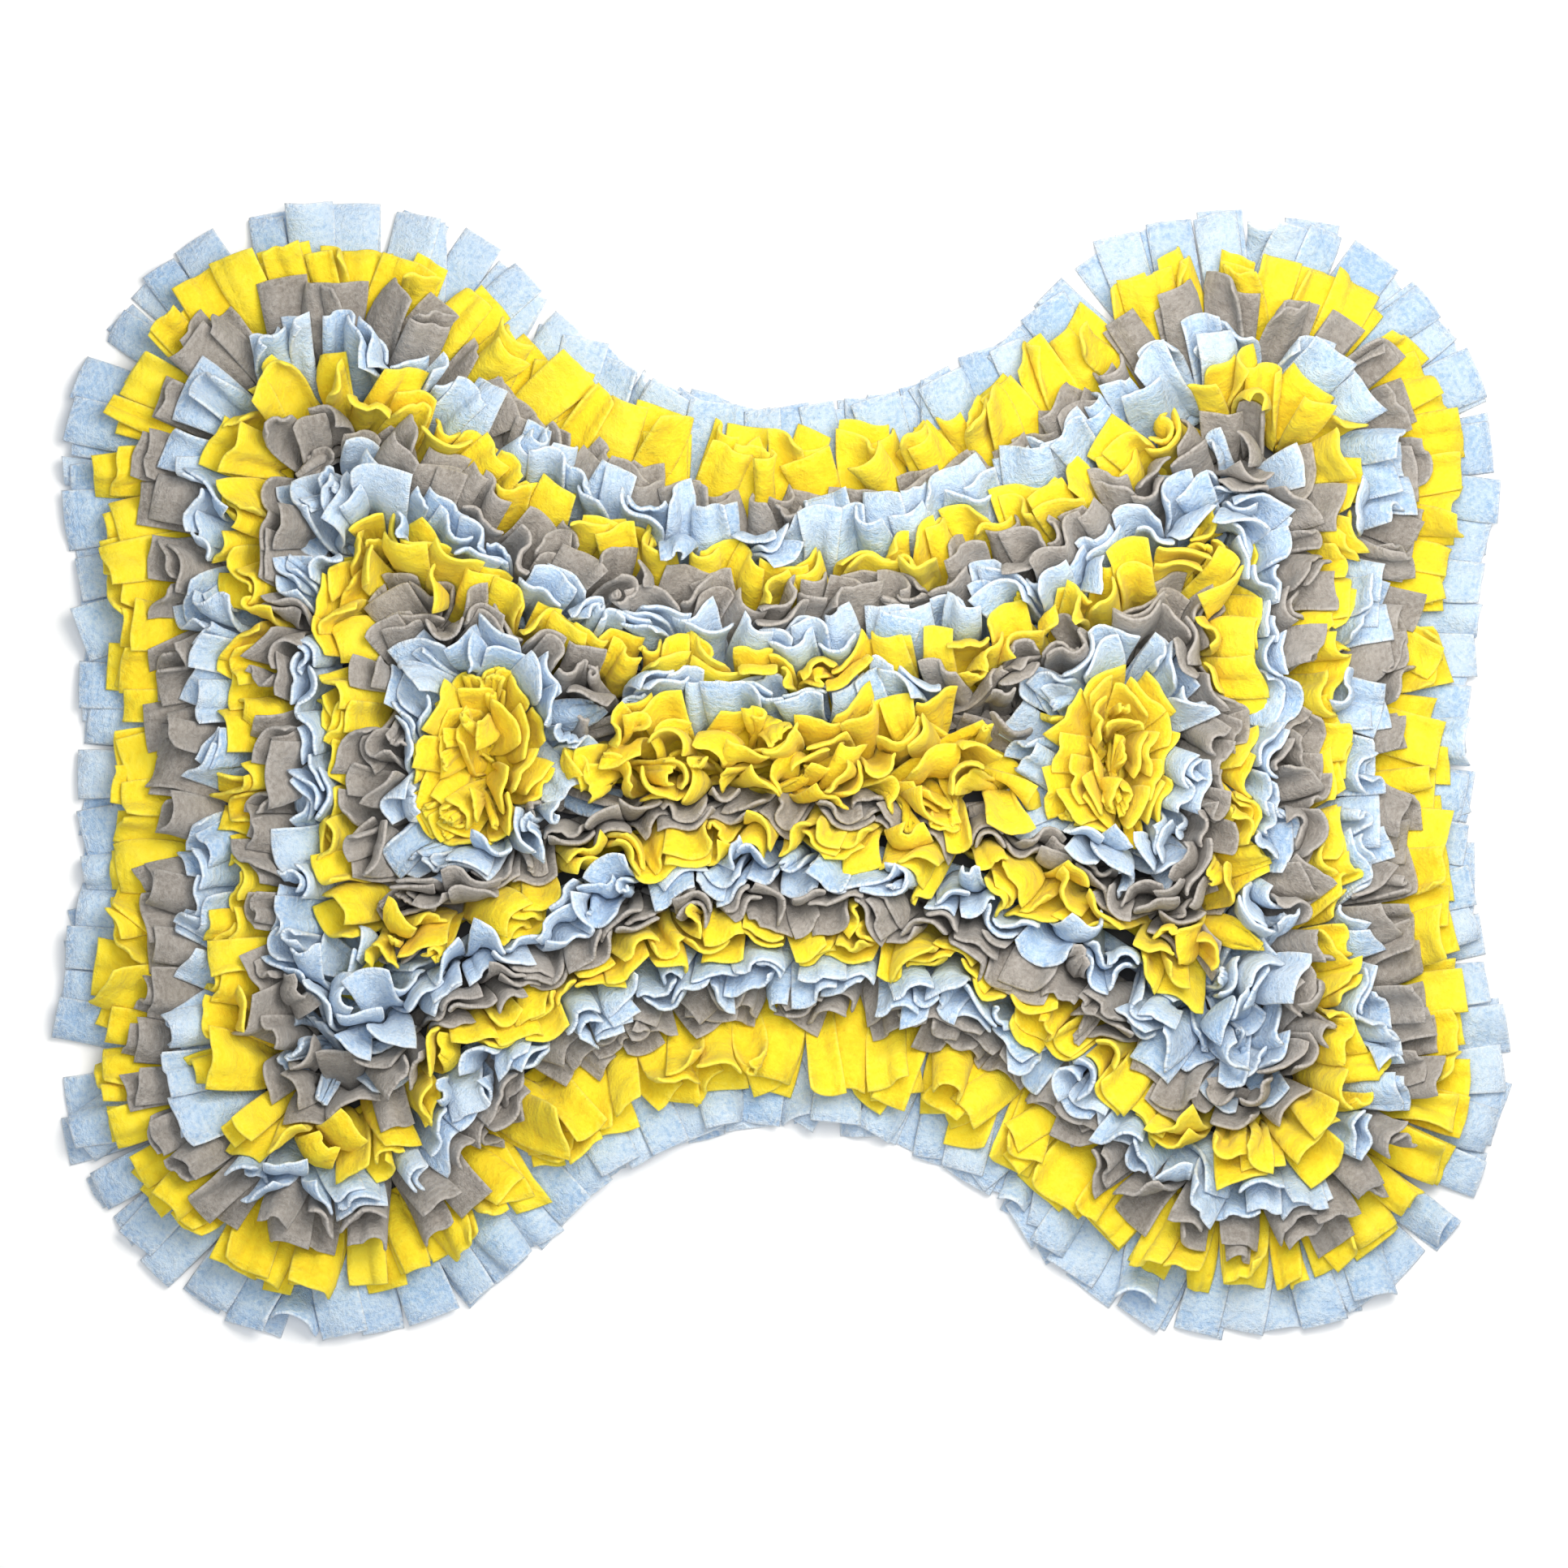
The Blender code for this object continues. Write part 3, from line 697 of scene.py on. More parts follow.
def start_flaps():
    """Each flap straight out from its root: the root plus the way out times the length run.

    A flat flap keeps its own width, a little less at its root, instead of the seam's.
    """
    lean = lean_angles()
    stray = np.radians(rng.normal(0, 1, flap_count) * flap["stray"])
    turn = stray * np.clip(flap["curl"] + 0.3, 0, 1.1)
    x, y = flap["out"].T
    level = np.zeros(flap_count)
    turned = (x * np.cos(turn) - y * np.sin(turn), x * np.sin(turn) + y * np.cos(turn))
    out = np.stack([*turned, level], axis=1)
    up = np.array([0.0, 0.0, 1.0])
    each = np.concatenate([flap["across"], np.zeros((flap_count, ACROSS, 1))], axis=2)
    aim = (each + out[:, None]) / 2
    aim /= np.linalg.norm(aim, axis=-1, keepdims=True)
    way = aim * np.cos(lean)[:, None, None] + up * np.sin(lean)[:, None, None]
    leaf = np.where(flap["ply"] == 0, LEAF, -LEAF)
    root = np.concatenate([flap["root"], np.zeros((flap_count, ACROSS, 1))], axis=2)
    root[..., 2] = ROOT_HEIGHT + (leaf * np.cos(lean))[:, None]
    root += (np.cos(lean) ** 2 * leaf)[:, None, None] * each
    run = np.arange(LONG)[None, :, None, None] * (flap["length"] / (LONG - 1))[:, None, None, None]
    cut = cut_lengths()[:, None, :, None]
    laid_out = root[:, None] + way[:, None] * run * cut
    beside = np.stack([out[:, 1], -out[:, 0], level], axis=1)
    span = np.linalg.norm(root[:, -1] - root[:, 0], axis=-1) * np.maximum(flap["fan"], 1)
    step = np.minimum(flap["width"], span) / (ACROSS - 1)
    offset = (np.arange(ACROSS) - (ACROSS - 1) / 2)[None, None, :, None]
    narrow = np.clip(0.72 + np.arange(LONG) * 0.09, 0, 1)[None, :, None, None]
    mean_root, mean_way = (part.mean(axis=1)[:, None, None] for part in (root, way))
    own = mean_root + mean_way * run * cut
    own += beside[:, None, None] * offset * step[:, None, None, None] * narrow
    return np.where(flap["flat"][:, None, None, None], own, laid_out).astype(np.float32), root, out


# Flaps are cut by eye, so widths and lengths differ by a tenth or so, ends are a little askew,
# and sides widen or narrow. One flat flap in five curls as much as those that stand.
flat = flap["flat"]
flat_widths = FLAP_WIDTH * rng.uniform(0.78, 1.08, flap_count)
flap["width"] = np.where(flat, flat_widths, flap["width"] * rng.uniform(0.88, 1.04, flap_count))
flap["length"] *= rng.uniform(np.where(flat, 0.92, 0.87), np.where(flat, 1.03, 1.06))
flap["length"] *= 1 - by_place(0, *flap["trim"].T)
flap["askew"] = rng.normal(0, 0.07, flap_count)
flap["curl"] = np.where(flat & (rng.random(flap_count) < 0.20), 0.9, flap["curl"])
flap["taper"] = rng.normal(0, 0.10, flap_count)
flaps, roots, outward = start_flaps()
long_step, cross_step = flap["length"] / (LONG - 1), flap["width"] / (ACROSS - 1)

# Fleece keeps its length and width, curls a little of its own accord, and rests on the
# floor, the panel and whatever lies under it, so the flaps are now left to settle.

SETTLE_STEPS = 50
STEP_TIME = 1 / 210
PULL_OUT, PULL_DOWN = 0.4, 4.5  # a flap's own push outward, and its weight
KEPT_SPEED = 0.85  # share of its speed that cloth keeps from step to step
MOST_MOVE = 0.0006  # in one step
BEND_FIRM, TWIST_FIRM = 0.26, 0.13
TOUCH = 0.0034  # middles of two plies that touch
TOUCH_REACH = 0.0056  # a point of a ply holds off others this far to its side
PAIRS_EVERY, PAIRS_MARGIN = 5, 0.0014  # steps till close points are found anew, and room for them
MOST_PUSH = 0.0012  # in one touch
HEIGHT_CELL = 0.002


def ground_heights():
    """A raster of what is under the flaps: the panel's top inside its edge, else the floor.

    A cell is inside when a line from it towards -x crosses the edge an odd number of times.
    """
    edge = outline(0.0)[0][::4]
    xs, ys = np.arange(-0.37, 0.37, HEIGHT_CELL), np.arange(-0.29, 0.29, HEIGHT_CELL)
    grid_x, grid_y = np.meshgrid(xs, ys, indexing="ij")
    inside = np.zeros(grid_x.shape, bool)
    for (x1, y1), (x2, y2) in zip(edge, np.roll(edge, -1, axis=0)):
        spans = (y1 > grid_y) != (y2 > grid_y)
        with np.errstate(divide="ignore", invalid="ignore"):
            inside ^= spans & (grid_x < (x2 - x1) * (grid_y - y1) / (y2 - y1) + x1)
    return xs, ys, (inside * PANEL_TOP).astype(np.float32)


def close_pairs(places, reach, flap_of, row_of, order, ply_of):
    """Pairs of points of different flaps nearer than reach, upper one first, and their gaps.

    Points are sorted by the cell of reach's size that holds them, so that the cells around
    each one are found as ranges of the sorted list. Flaps of one ply of a strip are one cloth
    at their roots, so their gap grows from nothing there.
    """
    points = places.reshape(-1, 3)
    cell = np.floor((points - points.min(axis=0)) / reach).astype(np.int64) + 1
    dims = cell.max(axis=0) + 2
    code = (cell[:, 0] * dims[1] + cell[:, 1]) * dims[2] + cell[:, 2]
    sorting = np.argsort(code, kind="stable")
    code = code[sorting]
    points, flap_here = points[sorting], flap_of[sorting]
    own = np.arange(len(points))
    uppers, lowers = [], []
    for step in ((0, 0), (0, 1), (1, -1), (1, 0), (1, 1)):
        offset = (step[0] * dims[1] + step[1]) * dims[2]
        first = own + 1 if step == (0, 0) else np.searchsorted(code, code + offset - 1, "left")
        last = np.searchsorted(code, code + offset + 1, "right")
        many = np.maximum(last - first, 0)
        one = np.repeat(own, many)
        start = np.cumsum(many) - many
        other = np.arange(many.sum()) - np.repeat(start - first, many)
        apart = flap_here[one] != flap_here[other]
        one, other = one[apart], other[apart]
        gap = points[one] - points[other]
        near = np.einsum("ij,ij->i", gap, gap) < reach * reach
        uppers.append(sorting[one[near]])
        lowers.append(sorting[other[near]])
    upper, lower = np.concatenate(uppers), np.concatenate(lowers)
    free = (row_of[upper] > 1) | (row_of[lower] > 1)
    upper, lower = upper[free], lower[free]
    swap = order[flap_of[upper]] < order[flap_of[lower]]
    upper, lower = np.where(swap, lower, upper), np.where(swap, upper, lower)
    same = ply_of[flap_of[upper]] == ply_of[flap_of[lower]]
    grown = np.clip((np.minimum(row_of[upper], row_of[lower]) - 1) / 3, 0, 0.85)
    return upper, lower, np.where(same, TOUCH * grown, TOUCH).astype(np.float32)


def facing(cloth):
    """Unit normals of all the flaps: across cross along, from differences of neighbours."""
    along, across = np.empty_like(cloth), np.empty_like(cloth)
    along[:, 1:-1] = cloth[:, 2:] - cloth[:, :-2]
    along[:, 0], along[:, -1] = cloth[:, 1] - cloth[:, 0], cloth[:, -1] - cloth[:, -2]
    across[:, :, 1:-1] = cloth[:, :, 2:] - cloth[:, :, :-2]
    across[:, :, 0] = cloth[:, :, 1] - cloth[:, :, 0]
    across[:, :, -1] = cloth[:, :, -1] - cloth[:, :, -2]
    normal = np.cross(across, along)
    return normal / (np.sqrt(np.einsum("...i,...i->...", normal, normal))[..., None] + 1e-9)


def hold_length(one, other, rest, firm=1.0):
    """Moves two ends towards or apart along their line until they are rest apart."""
    gap = one - other
    length = np.sqrt(np.einsum("...i,...i->...", gap, gap)) + 1e-9
    move = (0.5 * firm * (length - rest) / length)[..., None] * gap
    one -= move
    other += move


def hold_cut(cloth, along, across, slant):
    """Keeps the threads along and across a flap at their length, and the slanted ones nearly."""
    for odd in (0, 1):
        hold_length(cloth[:, odd:-1:2], cloth[:, odd + 1 :: 2], along)
        hold_length(cloth[:, :, odd:-1:2], cloth[:, :, odd + 1 :: 2], across[:, :, odd::2])
    for odd in (0, 1):
        later = cloth[:, odd + 1 :: 2]
        sooner = cloth[:, odd:-1:2][:, : later.shape[1]]
        between = slant[:, odd:-1:2][:, : later.shape[1]]
        hold_length(sooner[:, :, :-1], later[:, :, 1:], between, 0.4)
        hold_length(sooner[:, :, 1:], later[:, :, :-1], between, 0.4)


def arc_rise(curve, step):
    """Second difference of three points on a circle: 2 (1 - cos(curve step)) / curve."""
    turn = np.clip(curve * step, -2.4, 2.4)
    small = np.abs(turn) < 1e-3
    turn = np.where(small, 1e-3, turn)
    rise = np.where(small, curve * step * step, 2 * step * (1 - np.cos(turn)) / turn)
    return rise.astype(np.float32)


def bend_to(cloth, normal, bends, firm):
    """Moves each three points in a line so that their second difference nears its rise.

    bends has a row for each direction and reach: the axis, how many points apart the three
    are, their rise along the normal, and its share of firm. Far points bend the whole flap
    at once and near ones even out its curve.
    """
    moved = np.zeros_like(cloth)
    for axis, apart, rise, share in bends:
        here = np.moveaxis(cloth, axis, 0)
        facing_here = np.moveaxis(normal, axis, 0)
        shift = np.moveaxis(moved, axis, 0)
        off = here[: -2 * apart] - 2 * here[apart:-apart] + here[2 * apart :]
        off = off - facing_here[apart:-apart] * np.moveaxis(rise, axis, 0)
        off *= np.float32(firm * share / 6)
        shift[: -2 * apart] -= off
        shift[apart:-apart] += 2 * off
        shift[2 * apart :] -= off
    cloth += moved


def twist_to(cloth, normal, skew, apart, firm):
    """Moves the four corners of each cell of points so that their cross difference nears skew."""
    moved = np.zeros_like(cloth)
    off = cloth[:, :-apart, :-apart] - cloth[:, apart:, :-apart]
    off += cloth[:, apart:, apart:] - cloth[:, :-apart, apart:]
    off = (off - normal[:, :-apart, :-apart] * skew) * np.float32(firm / 8)
    moved[:, :-apart, :-apart] -= off
    moved[:, apart:, :-apart] += off
    moved[:, :-apart, apart:] += off
    moved[:, apart:, apart:] -= off
    cloth += moved


def part_plies(cloth, normal, upper, lower, thick):
    """Pushes the upper of two close points off the lower, along the mean of their normals.

    The gap wanted is thick times the root of one less the square of the sideways distance
    over TOUCH_REACH, as if each point carried a round button. Where a point has many touches,
    each moves it less.
    """
    points, normals = cloth.reshape(-1, 3), normal.reshape(-1, 3)
    gap = points[upper] - points[lower]
    way = normals[upper] + normals[lower]
    length = np.sqrt(np.einsum("ij,ij->i", way, way)) + 1e-6
    way /= length[:, None]
    height = np.einsum("ij,ij->i", gap, way)
    aside = np.einsum("ij,ij->i", gap, gap) - height * height
    wanted = thick * np.sqrt(np.maximum(1 - aside / TOUCH_REACH**2, 0))
    short = wanted - height
    on = np.flatnonzero((short > 0) & (length > 0.5) & (wanted > 0))
    above, below = upper[on], lower[on]
    push = way[on] * (np.minimum(short[on], MOST_PUSH) * 0.5)[:, None]
    total = len(points)
    times = np.bincount(above, minlength=total) + np.bincount(below, minlength=total)
    ease = 1.25 / np.maximum(times, 1.25) ** 0.75
    for axis in range(3):
        lift = np.bincount(above, push[:, axis], total) - np.bincount(below, push[:, axis], total)
        points[:, axis] += (lift * ease).astype(np.float32)


def per_flap(values):
    """One number for each flap, shaped to spread over its points."""
    return values.astype(np.float32)[:, None, None, None]


ROLLED = 0.45  # share of the flaps that roll up, while the others only bow
ROLL, BOW, FLAT_ROLL = (0.07, 0.15), (0, 0.07), 0.07  # radians to a millimetre, across
HOOK, NOD, SKEW = 0.07, 0.028, 0.07  # the same for an S across, a curl along and a twist
AT_TIP = 1.3  # these curls grow to this share of themselves at the tip
MOST_BEND = 115  # radians to a metre of a flap's root, from its seam


def own_curl():
    """How each flap's cloth wants to bend and twist, for bend_to and twist_to.

    Across, it rolls to one side, or in an S, and keeps some of the bend of its seam; along,
    it nods. All but the seam's bend grow from the root to the tip.
    """
    curl = flap["curl"] * 1000.0
    side = np.where(flat, -1, rng.choice([-1, 1], flap_count))
    rolled = rng.random(flap_count) < ROLLED
    tight = np.where(rolled, rng.uniform(*ROLL, flap_count), rng.uniform(*BOW, flap_count))
    tight += FLAT_ROLL * flat
    roll = side * tight * curl
    hook = rng.normal(0, 1, flap_count) * HOOK * curl
    nod = rng.normal(0, NOD, flap_count) * curl
    skew = rng.normal(0, 1, flap_count) * SKEW * curl
    grow_long = np.clip((np.arange(1, LONG - 1) - 0.5) / (LONG - 3), 0, 1) * AT_TIP
    grow_cross = np.clip((np.arange(LONG) - 1) / (LONG - 2), 0, 1) ** 1.2 * AT_TIP
    kept = np.clip(1.15 - 0.8 * (flap["fan"] - 1), 0.15, 1.05)
    seam_bend = np.clip(-flap["bend"] * kept[:, None], -MOST_BEND, MOST_BEND)
    seam_bend = seam_bend[:, 1:-1].astype(np.float32)[:, None, :, None]
    grow_long = grow_long.astype(np.float32)[None, :, None, None]
    grow_cross = grow_cross.astype(np.float32)[None, :, None, None]
    halves = np.linspace(-1, 1, ACROSS - 2).astype(np.float32)[None, None, :, None]
    across_curve = seam_bend + (per_flap(roll) + per_flap(hook) * halves) * grow_cross
    along_curve = per_flap(nod) * grow_long
    bends = []
    for apart, share in ((1, 0.5), (2, 1.0), (3, 0.5)):
        inner = across_curve[:, :, apart - 1 : ACROSS - 1 - apart]
        bends.append((2, apart, arc_rise(inner, per_flap(cross_step * apart)), share))
    for apart, share in ((1, 0.5), (2, 0.8)):
        inner = along_curve[:, apart - 1 : LONG - 1 - apart]
        bends.append((1, apart, arc_rise(inner, per_flap(long_step * apart)), share))
    twists = []
    for apart in (1, 3):
        grow_twist = np.linspace(0, 1, LONG - apart).astype(np.float32)[None, :, None, None]
        twists.append((per_flap(skew * long_step * cross_step * apart**2) * grow_twist, apart))
    return bends, twists


def cut_threads():
    """The lengths that hold_cut keeps: along a flap, across it, and slantwise by Pythagoras.

    Those across share out the flap's width as its seam does, and widen or narrow to its tip.
    """
    chords = np.linalg.norm(np.diff(roots, axis=1), axis=-1)
    chords = np.clip(chords / chords.mean(axis=1, keepdims=True), 0.72, 1.3)
    chords /= chords.mean(axis=1, keepdims=True)
    along = (long_step[:, None] * cut_lengths()).astype(np.float32)[:, None, :]
    widen = 1 + flap["taper"][:, None] * np.linspace(0, 1, LONG)
    across = (cross_step[:, None, None] * chords[:, None, :] * widen[:, :, None]).astype(np.float32)
    slant = np.sqrt(long_step[:, None, None] ** 2 + across**2).astype(np.float32)
    return along, across, slant


def settle(cloth, steps):
    """Lets the flaps curl, fall and come to rest on each other, in small damped steps.

    Of two that touch, the upper is in the row further in, or else the inner ply, or else has
    an odd number along its strip.
    """
    bends, twists = own_curl()
    threads = cut_threads()
    flap_of = np.repeat(np.arange(flap_count), LONG * ACROSS)
    row_of = np.tile(np.repeat(np.arange(LONG), ACROSS), flap_count)
    order = flap["level"] * 4 + (flap["ply"] == 0) * 2 + flap["number"] % 2 + flap["number"] * 1e-4
    order = order + strip * 1e-6
    ply_of = strip * 2 + flap["ply"]
    xs, ys, ground = ground_heights()
    sewn, before = cloth[:, :2].copy(), cloth.copy()
    pull = np.zeros_like(cloth)
    pull[...] = outward[:, None, None] * PULL_OUT
    pull[..., 2] -= PULL_DOWN
    for step in range(steps):
        drift = np.clip((cloth - before) * KEPT_SPEED, -MOST_MOVE, MOST_MOVE)
        before = cloth.copy()
        cloth += drift + pull * np.float32(STEP_TIME**2)
        cloth[:, :2] = sewn
        if step % PAIRS_EVERY == 0:
            pairs = close_pairs(cloth, TOUCH_REACH + PAIRS_MARGIN, flap_of, row_of, order, ply_of)
        for turn in range(3):
            normal = facing(cloth)
            hold_cut(cloth, *threads)
            bend_to(cloth, normal, bends, BEND_FIRM)
            for skewed, apart in twists:
                twist_to(cloth, normal, skewed, apart, TWIST_FIRM)
            cloth[:, :2] = sewn
            if turn != 1:
                part_plies(cloth, normal, *pairs)
                cloth[:, :2] = sewn
        column = np.clip(np.rint((cloth[..., 0] - xs[0]) / HEIGHT_CELL).astype(int), 0, len(xs) - 1)
        line = np.clip(np.rint((cloth[..., 1] - ys[0]) / HEIGHT_CELL).astype(int), 0, len(ys) - 1)
        np.maximum(cloth[..., 2], ground[column, line] + FLEECE / 2, out=cloth[..., 2])
    return cloth


flaps = settle(flaps, SETTLE_STEPS)

LONG_FINE, ACROSS_FINE = 8, 11  # points along and across a finished flap
RIM_THIN = 0.62  # a ply's thickness at its rim, as a share
RIM_OUT = 0.0007  # the rim stands out this far
EVEN_LONG, EVEN_CROSS = 0.08, 0.05  # how far a point goes towards the line of its neighbours


def finer(cloth, axis, count):
    """The smooth curve through the points along one axis, at count even places.

    Each stretch is the cubic whose slope at a point is half the step between its neighbours.
    """
    cloth = np.moveaxis(cloth, axis, 0)
    last = len(cloth)
    wide = np.concatenate([2 * cloth[:1] - cloth[1:2], cloth, 2 * cloth[-1:] - cloth[-2:-1]])
    at = np.linspace(0, last - 1, count)
    low = np.minimum(at.astype(int), last - 2)
    t = (at - low).reshape(-1, *[1] * (cloth.ndim - 1))
    a, b, c, d = wide[low], wide[low + 1], wide[low + 2], wide[low + 3]
    curve = 2 * b + (c - a) * t + (2 * a - 5 * b + 4 * c - d) * t**2 + (3 * b - a - 3 * c + d) * t**3
    return np.moveaxis(curve / 2, 0, axis)


def flap_solids(cloth):
    """Both faces of each flap half a ply from its middle, with a rounded rim between them."""
    cloth = cloth.astype(float)
    eased = cloth.copy()
    eased[:, 1:-1] += EVEN_LONG * (cloth[:, :-2] - 2 * cloth[:, 1:-1] + cloth[:, 2:])
    eased[:, :, 1:-1] += EVEN_CROSS * (eased[:, :, :-2] - 2 * eased[:, :, 1:-1] + eased[:, :, 2:])
    fine = finer(finer(eased, 1, LONG_FINE), 2, ACROSS_FINE)
    along, across = np.gradient(fine, axis=1), np.gradient(fine, axis=2)
    normal = np.cross(along, across)
    normal /= np.linalg.norm(normal, axis=-1, keepdims=True) + 1e-12
    at_rim = np.zeros((LONG_FINE, ACROSS_FINE), bool)
    at_rim[[0, -1]] = True
    at_rim[:, [0, -1]] = True
    half = np.where(at_rim, RIM_THIN, 1.0)[None, :, :, None] * FLEECE / 2
    rim = rim_walk()
    outset = np.zeros((LONG_FINE, ACROSS_FINE, 2))
    outset[:, 0, 1], outset[:, -1, 1], outset[0, :, 0], outset[-1, :, 0] = -1, 1, -1, 1
    outset = outset[rim[:, 0], rim[:, 1]]
    side = across / (np.linalg.norm(across, axis=-1, keepdims=True) + 1e-12)
    tip = along / (np.linalg.norm(along, axis=-1, keepdims=True) + 1e-12)
    side, tip = side[:, rim[:, 0], rim[:, 1]], tip[:, rim[:, 0], rim[:, 1]]
    outward_rim = side * outset[None, :, 1:] + tip * outset[None, :, :1]
    edge = fine[:, rim[:, 0], rim[:, 1]] + RIM_OUT * outward_rim
    faces = (len(fine), -1, 3)
    solids = [(fine + normal * half).reshape(faces), (fine - normal * half).reshape(faces), edge]
    return np.maximum(np.concatenate(solids, axis=1), (-1, -1, 0))


def rim_walk():
    """Row and column of each point round a flap's edge, in order."""
    long, wide = np.arange(LONG_FINE), np.arange(ACROSS_FINE)
    rows = np.concatenate([0 * wide, long[1:], 0 * wide[1:] + LONG_FINE - 1, long[-2:0:-1]])
    columns = np.concatenate([wide, 0 * long[1:] + ACROSS_FINE - 1, wide[-2::-1], 0 * long[-2:0:-1]])
    return np.stack([rows, columns], axis=1)


def flap_faces():
    """One flap's faces: the upper side, the lower side turned over, and the rim's two bands."""
    index = np.arange(LONG_FINE * ACROSS_FINE).reshape(LONG_FINE, ACROSS_FINE)
    corners = [index[:-1, :-1], index[:-1, 1:], index[1:, 1:], index[1:, :-1]]
    top = np.stack(corners, axis=-1).reshape(-1, 4)[:, ::-1]
    rim = rim_walk()
    high = index[rim[:, 0], rim[:, 1]]
    low = high + index.size
    edge = np.arange(len(rim)) + 2 * index.size
    next_high, next_low, next_edge = (np.roll(part, -1) for part in (high, low, edge))
    upper = np.stack([high, next_high, next_edge, edge], axis=1)
    lower = np.stack([edge, next_edge, next_low, low], axis=1)
    return np.concatenate([top, top[:, ::-1] + index.size, upper, lower])


MAP_STEP, MAP_PLY = 0.037, 0.6  # from flap to flap and from ply to ply on the cloth map
# the painted edge highlight's mask on a face's points beside its cut edges, as a share
CUT_NEAR_RIM = 0.55


def flap_maps(chosen):
    """Each point's place on its own flat flap, and the mask of the painted highlight: 1 at the cut
    edges.
    """
    rim = rim_walk()
    across, along = np.linspace(0, 1, ACROSS_FINE), np.linspace(0, 1, LONG_FINE)
    u, v = np.meshgrid(across, along)
    u = np.concatenate([u.ravel(), u.ravel(), u[rim[:, 0], rim[:, 1]]])
    v = np.concatenate([v.ravel(), v.ravel(), v[rim[:, 0], rim[:, 1]]])
    width, length = flap["width"][chosen, None], flap["length"][chosen, None]
    order = np.arange(len(chosen))[:, None]
    u = (u - 0.5) * width + order * MAP_STEP
    v = v * length + flap["ply"][chosen, None] * MAP_PLY
    on_rim = np.zeros((LONG_FINE, ACROSS_FINE))
    on_rim[-1] = on_rim[:, 0] = on_rim[:, -1] = CUT_NEAR_RIM
    cut = np.concatenate([on_rim.ravel(), on_rim.ravel(), np.ones(len(rim))])
    return np.stack([u, v], axis=2).reshape(-1, 2), np.tile(cut, len(chosen))


BAND_HALF, BAND_HEIGHT = 0.0042, 0.0036  # the sewn fold's half width and height
BAND_STEP = 0.006  # between its profiles


def sewn_fold(seam, closed):
    """The fold of a strip as it is sewn down: a low rounded profile carried along the seam."""
    points, normals = seam
    line = np.concatenate([points, normals], axis=1)
    total = np.hypot(*np.diff(points, axis=0).T).sum()
    line = spaced(line, max(12, round(total / BAND_STEP)), closed)
    profile = np.array([(-1, 0), (-0.95, 0.75), (-0.5, 1), (0.5, 1), (0.95, 0.75), (1, 0)])
    foot, out = line[:, None, :2], line[:, None, 2:]
    flat = foot + out * profile[None, :, :1] * BAND_HALF
    height = np.broadcast_to(PANEL_TOP + profile[None, :, 1:] * BAND_HEIGHT, (*flat.shape[:2], 1))
    points = np.concatenate([flat, height], axis=2)
    stations, corners = points.shape[:2]
    faces = shell_faces(stations + 1, corners)
    if closed:
        faces = faces % (stations * corners)
    else:
        faces = faces[: (stations - 1) * corners]
        ends = np.array([[0, 1, 4, 5], [1, 2, 3, 4]])
        faces = np.concatenate([faces, ends, ends[:, ::-1] + (stations - 1) * corners])
    return points.reshape(-1, 3), faces[:, ::-1]


CLOTH_IN_SEAM = 1.09  # a strip's cloth, as a share of its flaps', with its fold and seam
# painted shade: the sewn fold, low among the flaps' roots, is painted a little darker than its flaps
FOLD_SHADE = -0.5  # the fold is a little darker than the flaps
tints = np.random.default_rng(SEED + 1).normal(0, 1, flap_count)


def ruffle_piece(name, material):
    """Joins a ruffle's sewn folds and flaps in one mesh, with its cloth map and flap tints."""
    strips = [index for index, ruffle in enumerate(ruffles) if ruffle["name"] == name]
    chosen = np.flatnonzero(np.isin(strip, strips))
    solids = flap_solids(flaps[chosen])
    each = solids.shape[1]
    faces = (flap_faces()[None] + (np.arange(len(chosen)) * each)[:, None, None]).reshape(-1, 4)
    uv, cut = flap_maps(chosen)
    tint = np.repeat(tints[chosen], each)
    points = solids.reshape(-1, 3)
    for index in strips:
        fold_points, fold_faces = sewn_fold(ruffles[index]["seam"], ruffles[index]["closed"])
        faces = np.concatenate([faces, fold_faces + len(points)])
        points = np.concatenate([points, fold_points])
        uv = np.concatenate([uv, fold_points[:, :2]])
        cut = np.concatenate([cut, np.zeros(len(fold_points))])
        tint = np.concatenate([tint, np.full(len(fold_points), FOLD_SHADE)])
    piece = add_mesh(f"{name}_fleece", points, faces, uv, (("cut", cut), ("tint", tint)))
    piece.data.materials.append(material)
    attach(piece, "root")
    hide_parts(name)
    flat_width = 2 * (FLAP_LENGTH + BAND_HALF)
    cloth = float((flap["width"] * flap["length"])[chosen].sum()) / flat_width * CLOTH_IN_SEAM
    return piece


